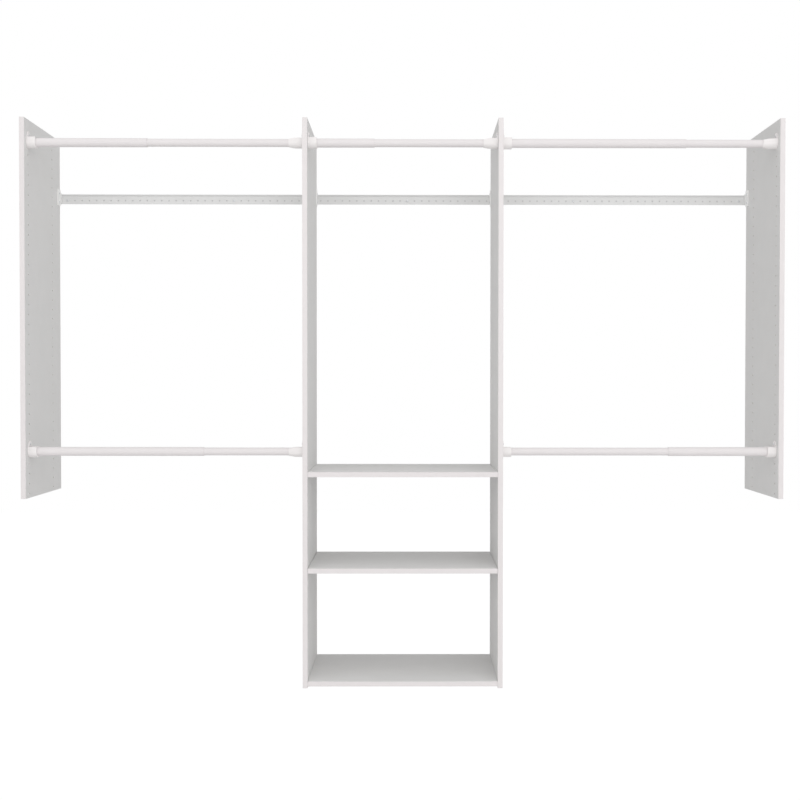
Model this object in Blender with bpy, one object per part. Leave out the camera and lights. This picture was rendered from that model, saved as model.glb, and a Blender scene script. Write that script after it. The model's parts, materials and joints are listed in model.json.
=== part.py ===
"""Wall mounted closet system: four hung panels, a steel wall rail, three shelves and five hanging rods.

Lengths are in metres. +X is to the right, +Y into the wall and +Z up. The origin is on the back face of the
wall rail, on the line of its holes, half-way along its length.
"""
import math

import bmesh
import bpy
from mathutils import Matrix, Vector
from mathutils.geometry import delaunay_2d_cdt

# Clearances
GAP = 0.0003
OVERRUN = 0.002

# Boards
BOARD_THICKNESS = 0.015875
UNIT_DEPTH = 0.3556
UNIT_WIDTH = 2.4384
TOWER_CLEAR_WIDTH = 0.6096
TOWER_HEIGHT = 1.824
SIDE_HEIGHT = 1.216
BAND_THICKNESS = 0.0009
BAND_BEVEL = 0.00035
WALL_STANDOFF = 0.016
PANEL_RISE_ABOVE_RAIL = 0.2045

# System holes, in a front and a rear column down each panel
HOLE_PITCH = 0.032
HOLE_RADIUS = 0.0025
HOLE_SIDES = 6
FIRST_HOLE_DROP = 0.050
LAST_HOLE_MARGIN = 0.0135
FRONT_COLUMN_SETBACK = 0.037
REAR_COLUMN_SETBACK = 0.084
SIDE_HOLE_DEPTH = 0.012
PEG_RADIUS = 0.0019
PEG_DEPTH = 0.007
PEG_SIDES = 8
PEG_TIP_SHARE = 0.4

# Wall rail: a flat web on the wall, whose top is bent out to a sloping lip
RAIL_GAUGE = 0.0016
RAIL_BELOW_HOLES = 0.0126
RAIL_WEB_ABOVE_HOLES = 0.0153
RAIL_LIP_RUN = 0.0055
RAIL_HOLE_PITCH = 0.0254
RAIL_HOLE_RADIUS = 0.003

# Hangers: a claw plate on each panel's inner face, hooked over the rail's lip
HANGER_THICKNESS = 0.0025
HANGER_REACH = 0.030
HANGER_TOP = 0.033
HANGER_CLAW_TOP = 0.0241
HANGER_BOTTOM = -0.022
HANGER_REAR_FOOT = -0.0112
HANGER_NOTCH_BOTTOM = -0.0065
HANGER_NOTCH_DEPTH = 0.0052
HANGER_WALL_CLEARANCE = 0.001
HANGER_NOSE_LENGTH = 0.0040
HANGER_SCREW_SETBACK = 0.015
HANGER_SCREW_HEIGHTS = (0.020, -0.010)
HANGER_HOLE_RADIUS = 0.0024
HANGER_PILOT_RADIUS = 0.0020

# Hanging rods: a thick tube that a thin one slides in, with its ends in open-topped cups
THICK_TUBE_RADIUS = 0.0143
THIN_TUBE_RADIUS = 0.0127
TUBE_WALL = 0.0012
TUBE_SIDES = 20
TUBE_OVERLAP = 0.100
ROD_END_CLEARANCE = 0.0065
TOP_ROD_ROW = 0
BOTTOM_ROD_RISE_ROWS = 5

# Where each rod steps from one tube to the other, as a share of its bay from the left
TOP_LEFT_STEP_SHARE = 0.434
TOP_CENTRE_STEP_SHARE = 0.35
TOP_RIGHT_STEP_SHARE = 0.669
BOTTOM_LEFT_STEP_SHARE = 0.637
BOTTOM_RIGHT_STEP_SHARE = 0.608

# Rod cups: the mouths of those that hold a thin tube at its right end are tapered
CUP_LENGTH = 0.028
CUP_TAPER_START = 0.0245
CUP_TAPER_LENGTH = 0.0215
CUP_TIP_WALL = 0.001
CUP_TIP_RIM_DROP = 0.002
CUP_WALL = 0.0045
CUP_FLANGE = 0.003
CUP_RIM_ABOVE_TUBE = 0.001
CUP_ARC_STEPS = 8
CUP_SCREW_RISE = 0.024
CUP_TAB_HALF_WIDTH = 0.011
CUP_TAB_ARC_STEPS = 4
CUP_SCREW_HOLE_RADIUS = 0.0024

# Shelves: the top and bottom ones are held by cams, the middle one lies on pins
TOP_SHELF_RISE_ROWS = 21
MIDDLE_SHELF_RISE_ROWS = 11
LOOSE_SHELF_CLEARANCE = 0.0008
SHELF_PIN_RADIUS = 0.0027
SHELF_PIN_LENGTH = 0.009

# Cams and their bolts
CAM_SETBACK = 0.024
CAM_RADIUS = 0.0072
CAM_BORE_RADIUS = 0.0075
CAM_BORE_SKIN = 0.0029
CAM_CLEARANCE = 0.0002
CAM_SIDES = 16
CAM_CAVITY_RADIUS = 0.0048
CAM_SLOT_MARGIN = math.radians(20)
CAM_SLOT_STEPS = 5
CAM_DRIVER_LENGTH = 0.009
CAM_DRIVER_WIDTH = 0.0016
CAM_DRIVER_DEPTH = 0.0018
BOLT_BORE_RADIUS = 0.004
BOLT_COLLAR_RADIUS = 0.0034
BOLT_COLLAR_LENGTH = 0.0012
BOLT_NECK_RADIUS = 0.0015
BOLT_HEAD_RADIUS = 0.0028
BOLT_HEAD_LENGTH = 0.003
BOLT_RUNNING_CLEARANCE = 0.0006

# Edges flatter than this are shaded smooth
SMOOTH_ANGLE = math.radians(35)

# Finishes: colour, roughness, metallic
MELAMINE = ((0.80, 0.79, 0.78), 0.45, 0.0)
EDGE_BAND = ((0.86, 0.84, 0.84), 0.35, 0.0)
WHITE_STEEL = ((0.82, 0.81, 0.81), 0.30, 0.0)
WHITE_PLASTIC = ((0.86, 0.85, 0.85), 0.35, 0.0)
ZINC = ((0.62, 0.63, 0.65), 0.30, 1.0)

# Places that follow from the sizes
LEFT = -1
RIGHT = 1
RAIL_LIP_TOP = RAIL_WEB_ABOVE_HOLES + RAIL_LIP_RUN
PANEL_BACK = -WALL_STANDOFF
PANEL_FRONT = PANEL_BACK - UNIT_DEPTH
BOARD_DEPTH = UNIT_DEPTH - BAND_THICKNESS - GAP
PANEL_TOP = PANEL_RISE_ABOVE_RAIL
TOWER_FACE = TOWER_CLEAR_WIDTH / 2
TOWER_OUTSIDE = TOWER_FACE + BOARD_THICKNESS
SIDE_FACE = UNIT_WIDTH / 2 - BOARD_THICKNESS
FRONT_COLUMN = PANEL_FRONT + FRONT_COLUMN_SETBACK
REAR_COLUMN = PANEL_BACK - REAR_COLUMN_SETBACK
COLUMNS = {"front": FRONT_COLUMN, "rear": REAR_COLUMN}
PEG_TIP_RADIUS = PEG_RADIUS * PEG_TIP_SHARE


def last_row(height):
    """The lowest row of system holes in a panel, counted from 0 at its top."""
    return int((height - FIRST_HOLE_DROP - LAST_HOLE_MARGIN) / HOLE_PITCH)


def hole_height(row):
    """Height of a row of system holes, counted from the top of the panels."""
    return PANEL_TOP - FIRST_HOLE_DROP - row * HOLE_PITCH


BOTTOM_ROD_ROW = last_row(SIDE_HEIGHT) - BOTTOM_ROD_RISE_ROWS
BOTTOM_SHELF_ROW = last_row(TOWER_HEIGHT)
MIDDLE_SHELF_ROW = BOTTOM_SHELF_ROW - MIDDLE_SHELF_RISE_ROWS
TOP_SHELF_ROW = BOTTOM_SHELF_ROW - TOP_SHELF_RISE_ROWS

# A bay is the span from panel face to panel face that a rod or a shelf fills
BAYS = {
    "left": (-SIDE_FACE, -TOWER_OUTSIDE),
    "centre": (-TOWER_FACE, TOWER_FACE),
    "right": (TOWER_OUTSIDE, SIDE_FACE),
}

# Each rod: name, bay, row of its cup screws, the end that its thick tube is at, and its step
RODS = (
    ("top_left_rod", "left", TOP_ROD_ROW, LEFT, TOP_LEFT_STEP_SHARE),
    ("top_centre_rod", "centre", TOP_ROD_ROW, LEFT, TOP_CENTRE_STEP_SHARE),
    ("top_right_rod", "right", TOP_ROD_ROW, LEFT, TOP_RIGHT_STEP_SHARE),
    ("bottom_left_rod", "left", BOTTOM_ROD_ROW, LEFT, BOTTOM_LEFT_STEP_SHARE),
    ("bottom_right_rod", "right", BOTTOM_ROD_ROW, RIGHT, BOTTOM_RIGHT_STEP_SHARE),
)


def clear_scene():
    for item in list(bpy.data.objects):
        bpy.data.objects.remove(item)


def circle(centre, radius, sides):
    """Corners of a regular polygon, the first one straight up."""
    turns = [math.pi / 2 + math.tau * step / sides for step in range(sides)]
    return [(centre[0] + radius * math.cos(turn), centre[1] + radius * math.sin(turn)) for turn in turns]


def loop(mesh, points, place):
    """Vertices for flat points, carried to their place by a function of two coordinates."""
    return [mesh.verts.new(place(*point)) for point in points]


def wall(mesh, first, second, closed=True):
    """Quads between two loops with the same number of corners."""
    count = len(first)
    for step in range(count if closed else count - 1):
        following = (step + 1) % count
        mesh.faces.new((first[step], first[following], second[following], second[step]))


def cap(mesh, outline, *holes):
    """A flat face inside the outline, less the holes, which are convex."""
    if not holes:
        mesh.faces.new(outline)
        return
    corners = [corner for ring in (outline, *holes) for corner in ring]
    spans = [max(place) - min(place) for place in zip(*(corner.co for corner in corners))]
    flat = [axis for axis in range(3) if axis != spans.index(min(spans))]
    points = [Vector((corner.co[flat[0]], corner.co[flat[1]])) for corner in corners]
    owners = []
    edges = []
    for number, ring in enumerate((outline, *holes)):
        start = len(owners)
        owners += [number] * len(ring)
        edges += [(start + step, start + (step + 1) % len(ring)) for step in range(len(ring))]
    triangles = delaunay_2d_cdt(points, edges, [], 1, 0)[2]
    for triangle in triangles:
        touched = {owners[corner] for corner in triangle}
        if len(touched) > 1 or touched == {0}:
            mesh.faces.new([corners[corner] for corner in triangle])


def across(x):
    """Places flat points in the plane at x, as depth and height."""
    return lambda y, z: (x, y, z)


def level(z):
    """Places flat points in the plane at z, as width and depth."""
    return lambda x, y: (x, y, z)


def upright(y):
    """Places flat points in the plane at y, as width and height."""
    return lambda x, z: (x, y, z)


def finished_mesh(mesh, name):
    """Turns a bmesh into mesh data with its faces pointing out."""
    bmesh.ops.recalc_face_normals(mesh, faces=mesh.faces)
    data = bpy.data.meshes.new(name)
    mesh.to_mesh(data)
    mesh.free()
    return data


def shade_round(data):
    data.shade_smooth()
    data.set_sharp_from_angle(angle=SMOOTH_ANGLE)


def add_object(name, data, finish, location=(0, 0, 0), parent=None):
    """One named sub-part with a material of its own."""
    colour, roughness, metallic = finish
    material = bpy.data.materials.new(name)
    material.use_nodes = True
    shader = material.node_tree.nodes["Principled BSDF"]
    shader.inputs["Base Color"].default_value = (*colour, 1)
    shader.inputs["Roughness"].default_value = roughness
    shader.inputs["Metallic"].default_value = metallic
    part = bpy.data.objects.new(name, data)
    part.location = location
    bpy.context.scene.collection.objects.link(part)
    if not data.materials:
        data.materials.append(material)
    part.material_slots[0].link = "OBJECT"
    part.material_slots[0].material = material
    if parent:
        part.parent = parent
        part.matrix_parent_inverse = Matrix.Translation(-parent.matrix_world.translation)
        part.location = location
    bpy.context.view_layer.update()
    return part


def block_mesh(name, low, high):
    """A plain block between two corners."""
    mesh = bmesh.new()
    rectangle = [(low[0], low[1]), (high[0], low[1]), (high[0], high[1]), (low[0], high[1])]
    under = loop(mesh, rectangle, level(low[2]))
    over = loop(mesh, rectangle, level(high[2]))
    wall(mesh, under, over)
    cap(mesh, under)
    cap(mesh, over)
    return finished_mesh(mesh, name)


def add_turned(mesh, profile, sides, place):
    """A closed turned solid: rings of the profile's (along, radius) pairs, carried by a matrix."""
    rings = []
    for along, radius in profile:
        ring = [place @ Vector((x, y, along)) for x, y in circle((0, 0), radius, sides)]
        rings.append([mesh.verts.new(corner) for corner in ring])
    for first, second in zip(rings, rings[1:]):
        wall(mesh, first, second)
    cap(mesh, rings[0])
    cap(mesh, rings[-1])


def along_x(x, y, z, side):
    """Carries a turned piece to a point, with its axis along X to the given side and its first corner up."""
    turned = Matrix(((0, 0, side), (side, 0, 0), (0, 1, 0))).to_4x4()
    return Matrix.Translation((x, y, z)) @ turned


def cut(name, data, *cutters):
    """The mesh data of a solid less its cutters."""
    solid = bpy.data.objects.new(name, data)
    bpy.context.scene.collection.objects.link(solid)
    tools = []
    for cutter in cutters:
        tool = bpy.data.objects.new(name + "_cutter", cutter)
        bpy.context.scene.collection.objects.link(tool)
        modifier = solid.modifiers.new("bores", "BOOLEAN")
        modifier.operation = "DIFFERENCE"
        modifier.solver = "EXACT"
        modifier.object = tool
        tools.append(tool)
    bpy.context.view_layer.update()
    evaluated = solid.evaluated_get(bpy.context.evaluated_depsgraph_get())
    result = bpy.data.meshes.new_from_object(evaluated)
    for item in (solid, *tools):
        bpy.data.objects.remove(item)
    result.name = name
    return result


def panel_holes(height):
    """Corners of every system hole of a panel, in a front and a rear column."""
    holes = []
    for row in range(last_row(height) + 1):
        for depth in COLUMNS.values():
            holes.append(circle((depth, hole_height(row)), HOLE_RADIUS, HOLE_SIDES))
    return holes


def add_blind_holes(mesh, mouths, holes, x):
    """Walls and bottoms of holes that end at x, below mouths already made on the face."""
    for mouth, points in zip(mouths, holes):
        bottom = loop(mesh, points, across(x))
        wall(mesh, mouth, bottom)
        cap(mesh, bottom)


def add_panel(name, face, side, height, holes_go_through, carrier):
    """A vertical panel with its drilled inner face at x, and the band on its front edge."""
    back = PANEL_BACK
    front = PANEL_BACK - BOARD_DEPTH
    bottom = PANEL_TOP - height
    outline = [(front, bottom), (back, bottom), (back, PANEL_TOP), (front, PANEL_TOP)]
    system = panel_holes(height)
    hanger = [
        circle((back - HANGER_SCREW_SETBACK, z), HANGER_PILOT_RADIUS, HOLE_SIDES)
        for z in HANGER_SCREW_HEIGHTS
    ]
    mesh = bmesh.new()
    inner = loop(mesh, outline, across(face))
    outer = loop(mesh, outline, across(face + side * BOARD_THICKNESS))
    system_mouths = [loop(mesh, points, across(face)) for points in system]
    hanger_mouths = [loop(mesh, points, across(face)) for points in hanger]
    wall(mesh, inner, outer)
    add_blind_holes(mesh, hanger_mouths, hanger, face + side * SIDE_HOLE_DEPTH)
    if holes_go_through:
        far_mouths = [loop(mesh, points, across(face + side * BOARD_THICKNESS)) for points in system]
        for mouth, far_mouth in zip(system_mouths, far_mouths):
            wall(mesh, mouth, far_mouth)
        cap(mesh, outer, *far_mouths)
    else:
        add_blind_holes(mesh, system_mouths, system, face + side * SIDE_HOLE_DEPTH)
        cap(mesh, outer)
    cap(mesh, inner, *system_mouths, *hanger_mouths)
    add_object(name, finished_mesh(mesh, name), MELAMINE, parent=carrier)
    spans = sorted((face, face + side * BOARD_THICKNESS))
    add_front_band(name, spans, (bottom, PANEL_TOP), carrier)


def add_front_band(name, width, height, parent):
    """The thin band glued on a board's front edge."""
    low = (width[0], PANEL_FRONT, height[0])
    high = (width[1], PANEL_FRONT + BAND_THICKNESS, height[1])
    centre = Vector(((low[0] + high[0]) / 2, low[1], low[2]))
    data = block_mesh(name, Vector(low) - centre, Vector(high) - centre)
    band = add_object(name + "_edge_band", data, EDGE_BAND, location=centre, parent=parent)
    bevel = band.modifiers.new("edges", "BEVEL")
    bevel.width = BAND_BEVEL
    bevel.segments = 1


def rail_holes():
    """Distances along the rail of its holes, one every pitch and even about the middle."""
    count = round(UNIT_WIDTH / RAIL_HOLE_PITCH)
    return [(step - (count - 1) / 2) * RAIL_HOLE_PITCH for step in range(count)]


def add_rail(frame):
    """The wall rail: a punched sheet, bent out along its top and thickened towards the room."""
    mesh = bmesh.new()
    half = UNIT_WIDTH / 2
    low = -RAIL_BELOW_HOLES
    high = RAIL_WEB_ABOVE_HOLES
    web = loop(mesh, [(-half, low), (half, low), (half, high), (-half, high)], upright(0))
    holes = [loop(mesh, circle((x, 0), RAIL_HOLE_RADIUS, HOLE_SIDES), upright(0)) for x in rail_holes()]
    cap(mesh, web, *holes)
    lip = loop(mesh, [(-half, RAIL_LIP_TOP), (half, RAIL_LIP_TOP)], upright(-RAIL_LIP_RUN))
    mesh.faces.new((web[3], web[2], lip[1], lip[0]))
    data = finished_mesh(mesh, "hanging_rail")
    if data.polygons[0].normal.y < 0:
        data.flip_normals()
    rail = add_object("hanging_rail", data, WHITE_STEEL, parent=frame)
    sheet = rail.modifiers.new("gauge", "SOLIDIFY")
    sheet.thickness = RAIL_GAUGE
    sheet.offset = -1
    sheet.use_even_offset = True


def hanger_outline():
    """Outline of a hanger, as depth and height.

    Its rear edge wraps the rail's sloping lip, is notched to pass the heads of the rail's screws, and rests
    its foot on the rail's web below them.
    """
    slope = Vector((-1, 1)).normalized()
    out = Vector((-1, -1)).normalized()
    lip_root = Vector((0, RAIL_WEB_ABOVE_HOLES))
    lip_end = Vector((-RAIL_LIP_RUN, RAIL_LIP_TOP))
    reach = RAIL_GAUGE + GAP
    web_side = -reach
    under_lip = lip_root + out * reach
    notch_side = -HANGER_NOTCH_DEPTH
    notch_top = under_lip + slope * ((notch_side - under_lip.x) / slope.x)
    slot_low = lip_end + slope * GAP + out * reach
    slot_high = lip_end + slope * GAP - out * GAP
    nose = slot_high - slope * HANGER_NOSE_LENGTH
    rear = -HANGER_WALL_CLEARANCE
    return [
        (PANEL_BACK - HANGER_REACH, HANGER_BOTTOM),
        (PANEL_BACK, HANGER_BOTTOM),
        (PANEL_BACK, HANGER_REAR_FOOT),
        (web_side, HANGER_REAR_FOOT),
        (web_side, HANGER_NOTCH_BOTTOM),
        (notch_side, HANGER_NOTCH_BOTTOM),
        tuple(notch_top),
        tuple(slot_low),
        tuple(slot_high),
        tuple(nose),
        (rear, nose.y),
        (rear, HANGER_CLAW_TOP),
        (PANEL_BACK, HANGER_CLAW_TOP),
        (PANEL_BACK, HANGER_TOP),
        (PANEL_BACK - HANGER_REACH, HANGER_TOP),
    ]


def add_hanger(name, face, side, carrier):
    """A flat steel claw on the inner face of a panel."""
    near = face - side * GAP
    far = near - side * HANGER_THICKNESS
    outline = hanger_outline()
    holes = [
        circle((PANEL_BACK - HANGER_SCREW_SETBACK, z), HANGER_HOLE_RADIUS, PEG_SIDES)
        for z in HANGER_SCREW_HEIGHTS
    ]
    mesh = bmesh.new()
    near_loop = loop(mesh, outline, across(near))
    far_loop = loop(mesh, outline, across(far))
    near_holes = [loop(mesh, points, across(near)) for points in holes]
    far_holes = [loop(mesh, points, across(far)) for points in holes]
    wall(mesh, near_loop, far_loop)
    for near_hole, far_hole in zip(near_holes, far_holes):
        wall(mesh, near_hole, far_hole)
    cap(mesh, near_loop, *near_holes)
    cap(mesh, far_loop, *far_holes)
    add_object(name, finished_mesh(mesh, name), WHITE_STEEL, parent=carrier)


def tube_mesh(name, radius, length):
    """A tube with its axis along X, from 0 to its length."""
    mesh = bmesh.new()
    rings = []
    for end in (0, length):
        for ring_radius in (radius, radius - TUBE_WALL):
            rings.append(loop(mesh, circle((0, 0), ring_radius, TUBE_SIDES), across(end)))
    near_outer, near_inner, far_outer, far_inner = rings
    wall(mesh, near_outer, far_outer)
    wall(mesh, near_inner, far_inner)
    wall(mesh, near_outer, near_inner)
    wall(mesh, far_outer, far_inner)
    data = finished_mesh(mesh, name)
    shade_round(data)
    return data


def rod_axis(row):
    """Depth and height of a rod whose cup screws are in a given row of holes."""
    return FRONT_COLUMN, hole_height(row) - CUP_SCREW_RISE


def add_rod(name, bay, row, thick_end, step_share, carrier):
    """A rod of two tubes. The thin tube slides into the thick one, which carries it."""
    depth, height = rod_axis(row)
    near, far = BAYS[bay]
    left = near + ROD_END_CLEARANCE
    right = far - ROD_END_CLEARANCE
    step = near + step_share * (far - near)
    if thick_end == LEFT:
        thick_span = (left, step)
        thin_span = (step - TUBE_OVERLAP, right)
    else:
        thick_span = (step, right)
        thin_span = (left, step + TUBE_OVERLAP)
    outer_name = name + "_outer_tube"
    outer_data = tube_mesh(outer_name, THICK_TUBE_RADIUS, thick_span[1] - thick_span[0])
    outer_place = (thick_span[0], depth, height)
    outer = add_object(outer_name, outer_data, WHITE_STEEL, location=outer_place, parent=carrier)
    inner_name = name + "_inner_tube"
    inner_data = tube_mesh(inner_name, THIN_TUBE_RADIUS, thin_span[1] - thin_span[0])
    inner_place = (thin_span[0], depth, height)
    add_object(inner_name, inner_data, WHITE_STEEL, location=inner_place, parent=outer)


def cup_path(radius, rim):
    """A path round the trough of a cup, as depth and height from the rod's axis, from rim to rim."""
    turns = [math.pi + math.pi * step / CUP_ARC_STEPS for step in range(CUP_ARC_STEPS + 1)]
    arc = [(radius * math.cos(turn), radius * math.sin(turn)) for turn in turns]
    return [(-radius, rim), *arc, (radius, rim)]


def cup_sections(tube_radius, tapered):
    """The cup's length, outer path and inner path where its trough ends, and where its taper does."""
    inner = tube_radius + GAP
    rim = tube_radius + CUP_RIM_ABOVE_TUBE
    outer_path = cup_path(inner + CUP_WALL, rim)
    inner_path = cup_path(inner, rim)
    if not tapered:
        return [(CUP_LENGTH, outer_path, inner_path)]
    tip_rim = tube_radius - CUP_TIP_RIM_DROP
    tip = CUP_TAPER_START + CUP_TAPER_LENGTH
    return [
        (CUP_TAPER_START, outer_path, inner_path),
        (tip, cup_path(inner + CUP_TIP_WALL, tip_rim), cup_path(inner, tip_rim)),
    ]


def cup_tab():
    """The rounded top of the cup's flange, from its right side over to its left."""
    turns = [math.pi * step / CUP_TAB_ARC_STEPS for step in range(CUP_TAB_ARC_STEPS + 1)]
    radius = CUP_TAB_HALF_WIDTH
    return [(radius * math.cos(turn), CUP_SCREW_RISE + radius * math.sin(turn)) for turn in turns]


def cup_mesh(name, tube_radius, side, tapered):
    """A cup with its flange at x = 0 and its mouth to the given side."""
    sections = cup_sections(tube_radius, tapered)
    _, outer_path, inner_path = sections[0]
    outline = outer_path + cup_tab()
    screw_hole = circle((0, CUP_SCREW_RISE), CUP_SCREW_HOLE_RADIUS, PEG_SIDES)
    peg_points = circle((0, CUP_SCREW_RISE - HOLE_PITCH), PEG_RADIUS, PEG_SIDES)
    front = side * CUP_FLANGE
    mesh = bmesh.new()
    back_loop = loop(mesh, outline, across(0))
    front_loop = loop(mesh, outline, across(front))
    seat = loop(mesh, inner_path, across(front))
    back_hole = loop(mesh, screw_hole, across(0))
    front_hole = loop(mesh, screw_hole, across(front))
    peg_root = loop(mesh, peg_points, across(0))
    peg_end = loop(mesh, peg_points, across(-side * (PEG_DEPTH + GAP)))
    cup_edge = front_loop[:len(outer_path)]
    wall(mesh, back_loop, front_loop)
    outer_edge = cup_edge
    inner_edge = seat
    for length, outer, inner in sections:
        next_outer = loop(mesh, outer, across(side * length))
        next_inner = loop(mesh, inner, across(side * length))
        wall(mesh, outer_edge, next_outer, closed=False)
        wall(mesh, inner_edge, next_inner, closed=False)
        for end in (0, -1):
            mesh.faces.new((outer_edge[end], inner_edge[end], next_inner[end], next_outer[end]))
        outer_edge = next_outer
        inner_edge = next_inner
    wall(mesh, outer_edge, inner_edge, closed=False)
    wall(mesh, back_hole, front_hole)
    wall(mesh, peg_root, peg_end)
    cap(mesh, peg_end)
    cap(mesh, back_loop, back_hole, peg_root)
    cap(mesh, [cup_edge[0], *seat, *front_loop[len(outer_path) - 1:]], front_hole)
    data = finished_mesh(mesh, name)
    shade_round(data)
    return data


def add_cup(name, face, end, row, tube_radius, carrier):
    """A cup on a panel's face at one end of a rod, pegged into the hole below its screw."""
    depth, height = rod_axis(row)
    tapered = end == RIGHT and tube_radius < THICK_TUBE_RADIUS
    data = cup_mesh(name, tube_radius, -end, tapered)
    add_object(name, data, WHITE_PLASTIC, location=(face - end * GAP, depth, height), parent=carrier)


def shelf_ends(clearance):
    """The shelf's two ends."""
    return -TOWER_FACE + clearance, TOWER_FACE - clearance


def shelf_mesh(name, clearance, low):
    left, right = shelf_ends(clearance)
    front = PANEL_BACK - BOARD_DEPTH
    return block_mesh(name, (left, front, low), (right, PANEL_BACK, low + BOARD_THICKNESS))


def cam_places():
    """Name, axis and bolt side of the four cams of a fixed shelf."""
    for end, side in (("left", LEFT), ("right", RIGHT)):
        for column, depth in COLUMNS.items():
            yield end + "_" + column, side * (TOWER_FACE - CAM_SETBACK), depth, side


def add_fixed_shelf(name, row, frame):
    """A shelf whose mid-plane is on a row of system holes, with a cam for each of its four bolts."""
    middle = hole_height(row)
    low = middle - BOARD_THICKNESS / 2
    bores = bmesh.new()
    channels = bmesh.new()
    for _, x, depth, side in cam_places():
        bore = ((low - OVERRUN, CAM_BORE_RADIUS), (low + BOARD_THICKNESS - CAM_BORE_SKIN, CAM_BORE_RADIUS))
        add_turned(bores, bore, CAM_SIDES, Matrix.Translation((x, depth, 0)))
        channel = ((0, BOLT_BORE_RADIUS), (CAM_SETBACK + OVERRUN, BOLT_BORE_RADIUS))
        add_turned(channels, channel, PEG_SIDES, along_x(x, depth, middle, side))
    data = cut(
        name,
        shelf_mesh(name, GAP, low),
        finished_mesh(bores, name + "_bores"),
        finished_mesh(channels, name + "_channels"),
    )
    add_object(name, data, MELAMINE, parent=frame)
    add_front_band(name, shelf_ends(GAP), (low, low + BOARD_THICKNESS), frame)
    template = cam_mesh(name + "_cam")
    for place, x, depth, side in cam_places():
        cam = add_object(
            name + "_cam_" + place, template, ZINC, location=(x, depth, low + CAM_CLEARANCE), parent=frame
        )
        cam.rotation_euler.z = 0 if side == RIGHT else math.pi


def cam_mesh(name):
    """A cam with its axis on Z and its foot at 0, locked on a bolt that comes from +X.

    A slot for the bolt's neck runs half-way round its wall, to a mouth that the bolt's head passes.
    """
    centre = BOARD_THICKNESS / 2 - CAM_CLEARANCE
    height = BOARD_THICKNESS - CAM_BORE_SKIN - 2 * CAM_CLEARANCE
    half_cavity = BOLT_HEAD_RADIUS + BOLT_RUNNING_CLEARANCE
    half_slot = BOLT_NECK_RADIUS + BOLT_RUNNING_CLEARANCE
    body = bmesh.new()
    add_turned(body, ((0, CAM_RADIUS), (height, CAM_RADIUS)), CAM_SIDES, Matrix.Identity(4))
    cavity = bmesh.new()
    cavity_ends = ((centre - half_cavity, CAM_CAVITY_RADIUS), (centre + half_cavity, CAM_CAVITY_RADIUS))
    add_turned(cavity, cavity_ends, CAM_SIDES, Matrix.Identity(4))
    slot = bmesh.new()
    reach = CAM_RADIUS + OVERRUN
    span = math.pi + 2 * CAM_SLOT_MARGIN
    turns = [CAM_SLOT_MARGIN - span * step / CAM_SLOT_STEPS for step in range(CAM_SLOT_STEPS + 1)]
    sector = [(0, 0)] + [(reach * math.cos(turn), reach * math.sin(turn)) for turn in turns]
    slot_floor = loop(slot, sector, level(centre - half_slot))
    slot_roof = loop(slot, sector, level(centre + half_slot))
    wall(slot, slot_floor, slot_roof)
    cap(slot, slot_floor)
    cap(slot, slot_roof)
    mouth = block_mesh(
        name + "_mouth",
        (-reach, -half_cavity, centre - half_cavity),
        (0, half_cavity, centre + half_cavity),
    )
    driver = block_mesh(
        name + "_driver",
        (-CAM_DRIVER_LENGTH / 2, -CAM_DRIVER_WIDTH / 2, -OVERRUN),
        (CAM_DRIVER_LENGTH / 2, CAM_DRIVER_WIDTH / 2, CAM_DRIVER_DEPTH),
    )
    data = cut(
        name,
        finished_mesh(body, name + "_body"),
        finished_mesh(cavity, name + "_cavity"),
        finished_mesh(slot, name + "_slot"),
        mouth,
        driver,
    )
    shade_round(data)
    return data


def turned_mesh(name, profile, side):
    """A small turned piece at the origin, with its axis along X to the given side."""
    mesh = bmesh.new()
    add_turned(mesh, profile, PEG_SIDES, along_x(0, 0, 0, side))
    data = finished_mesh(mesh, name)
    shade_round(data)
    return data


def tower_fixings(row):
    """Name, place and direction of the four fixings of a shelf, which point from the panels inwards."""
    for label, side in (("left", LEFT), ("right", RIGHT)):
        for column, depth in COLUMNS.items():
            yield label + "_" + column, (side * TOWER_FACE, depth, hole_height(row)), -side


def add_shelf_bolts(name, row, frame):
    """Bolts screwed into the tower panels, whose heads a fixed shelf's cams hold."""
    collar_end = GAP + BOLT_COLLAR_LENGTH
    head = CAM_SETBACK - BOLT_HEAD_LENGTH / 2
    profile = (
        (-PEG_DEPTH, PEG_TIP_RADIUS),
        (-PEG_DEPTH + PEG_RADIUS, PEG_RADIUS),
        (GAP, PEG_RADIUS),
        (GAP, BOLT_COLLAR_RADIUS),
        (collar_end, BOLT_COLLAR_RADIUS),
        (collar_end, BOLT_NECK_RADIUS),
        (head, BOLT_NECK_RADIUS),
        (head, BOLT_HEAD_RADIUS),
        (head + BOLT_HEAD_LENGTH, BOLT_HEAD_RADIUS),
    )
    for place, location, side in tower_fixings(row):
        bolt = name + "_bolt_" + place
        add_object(bolt, turned_mesh(bolt, profile, side), ZINC, location=location, parent=frame)


def add_shelf_pins(row, frame):
    """Pins pushed into the tower panels, which the middle shelf lies on."""
    profile = (
        (-PEG_DEPTH, PEG_TIP_RADIUS),
        (-PEG_DEPTH + PEG_RADIUS, PEG_RADIUS),
        (GAP, PEG_RADIUS),
        (GAP, SHELF_PIN_RADIUS),
        (SHELF_PIN_LENGTH, SHELF_PIN_RADIUS),
    )
    for place, location, side in tower_fixings(row):
        pin = "shelf_pin_" + place
        add_object(pin, turned_mesh(pin, profile, side), ZINC, location=location, parent=frame)


def add_loose_shelf(name, row, frame):
    """A shelf that lies on its pins and lifts off them."""
    low = hole_height(row) + SHELF_PIN_RADIUS + GAP
    shelf = add_object(name, shelf_mesh(name, LOOSE_SHELF_CLEARANCE, low), MELAMINE, parent=frame)
    add_front_band(name, shelf_ends(LOOSE_SHELF_CLEARANCE), (low, low + BOARD_THICKNESS), shelf)


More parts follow.
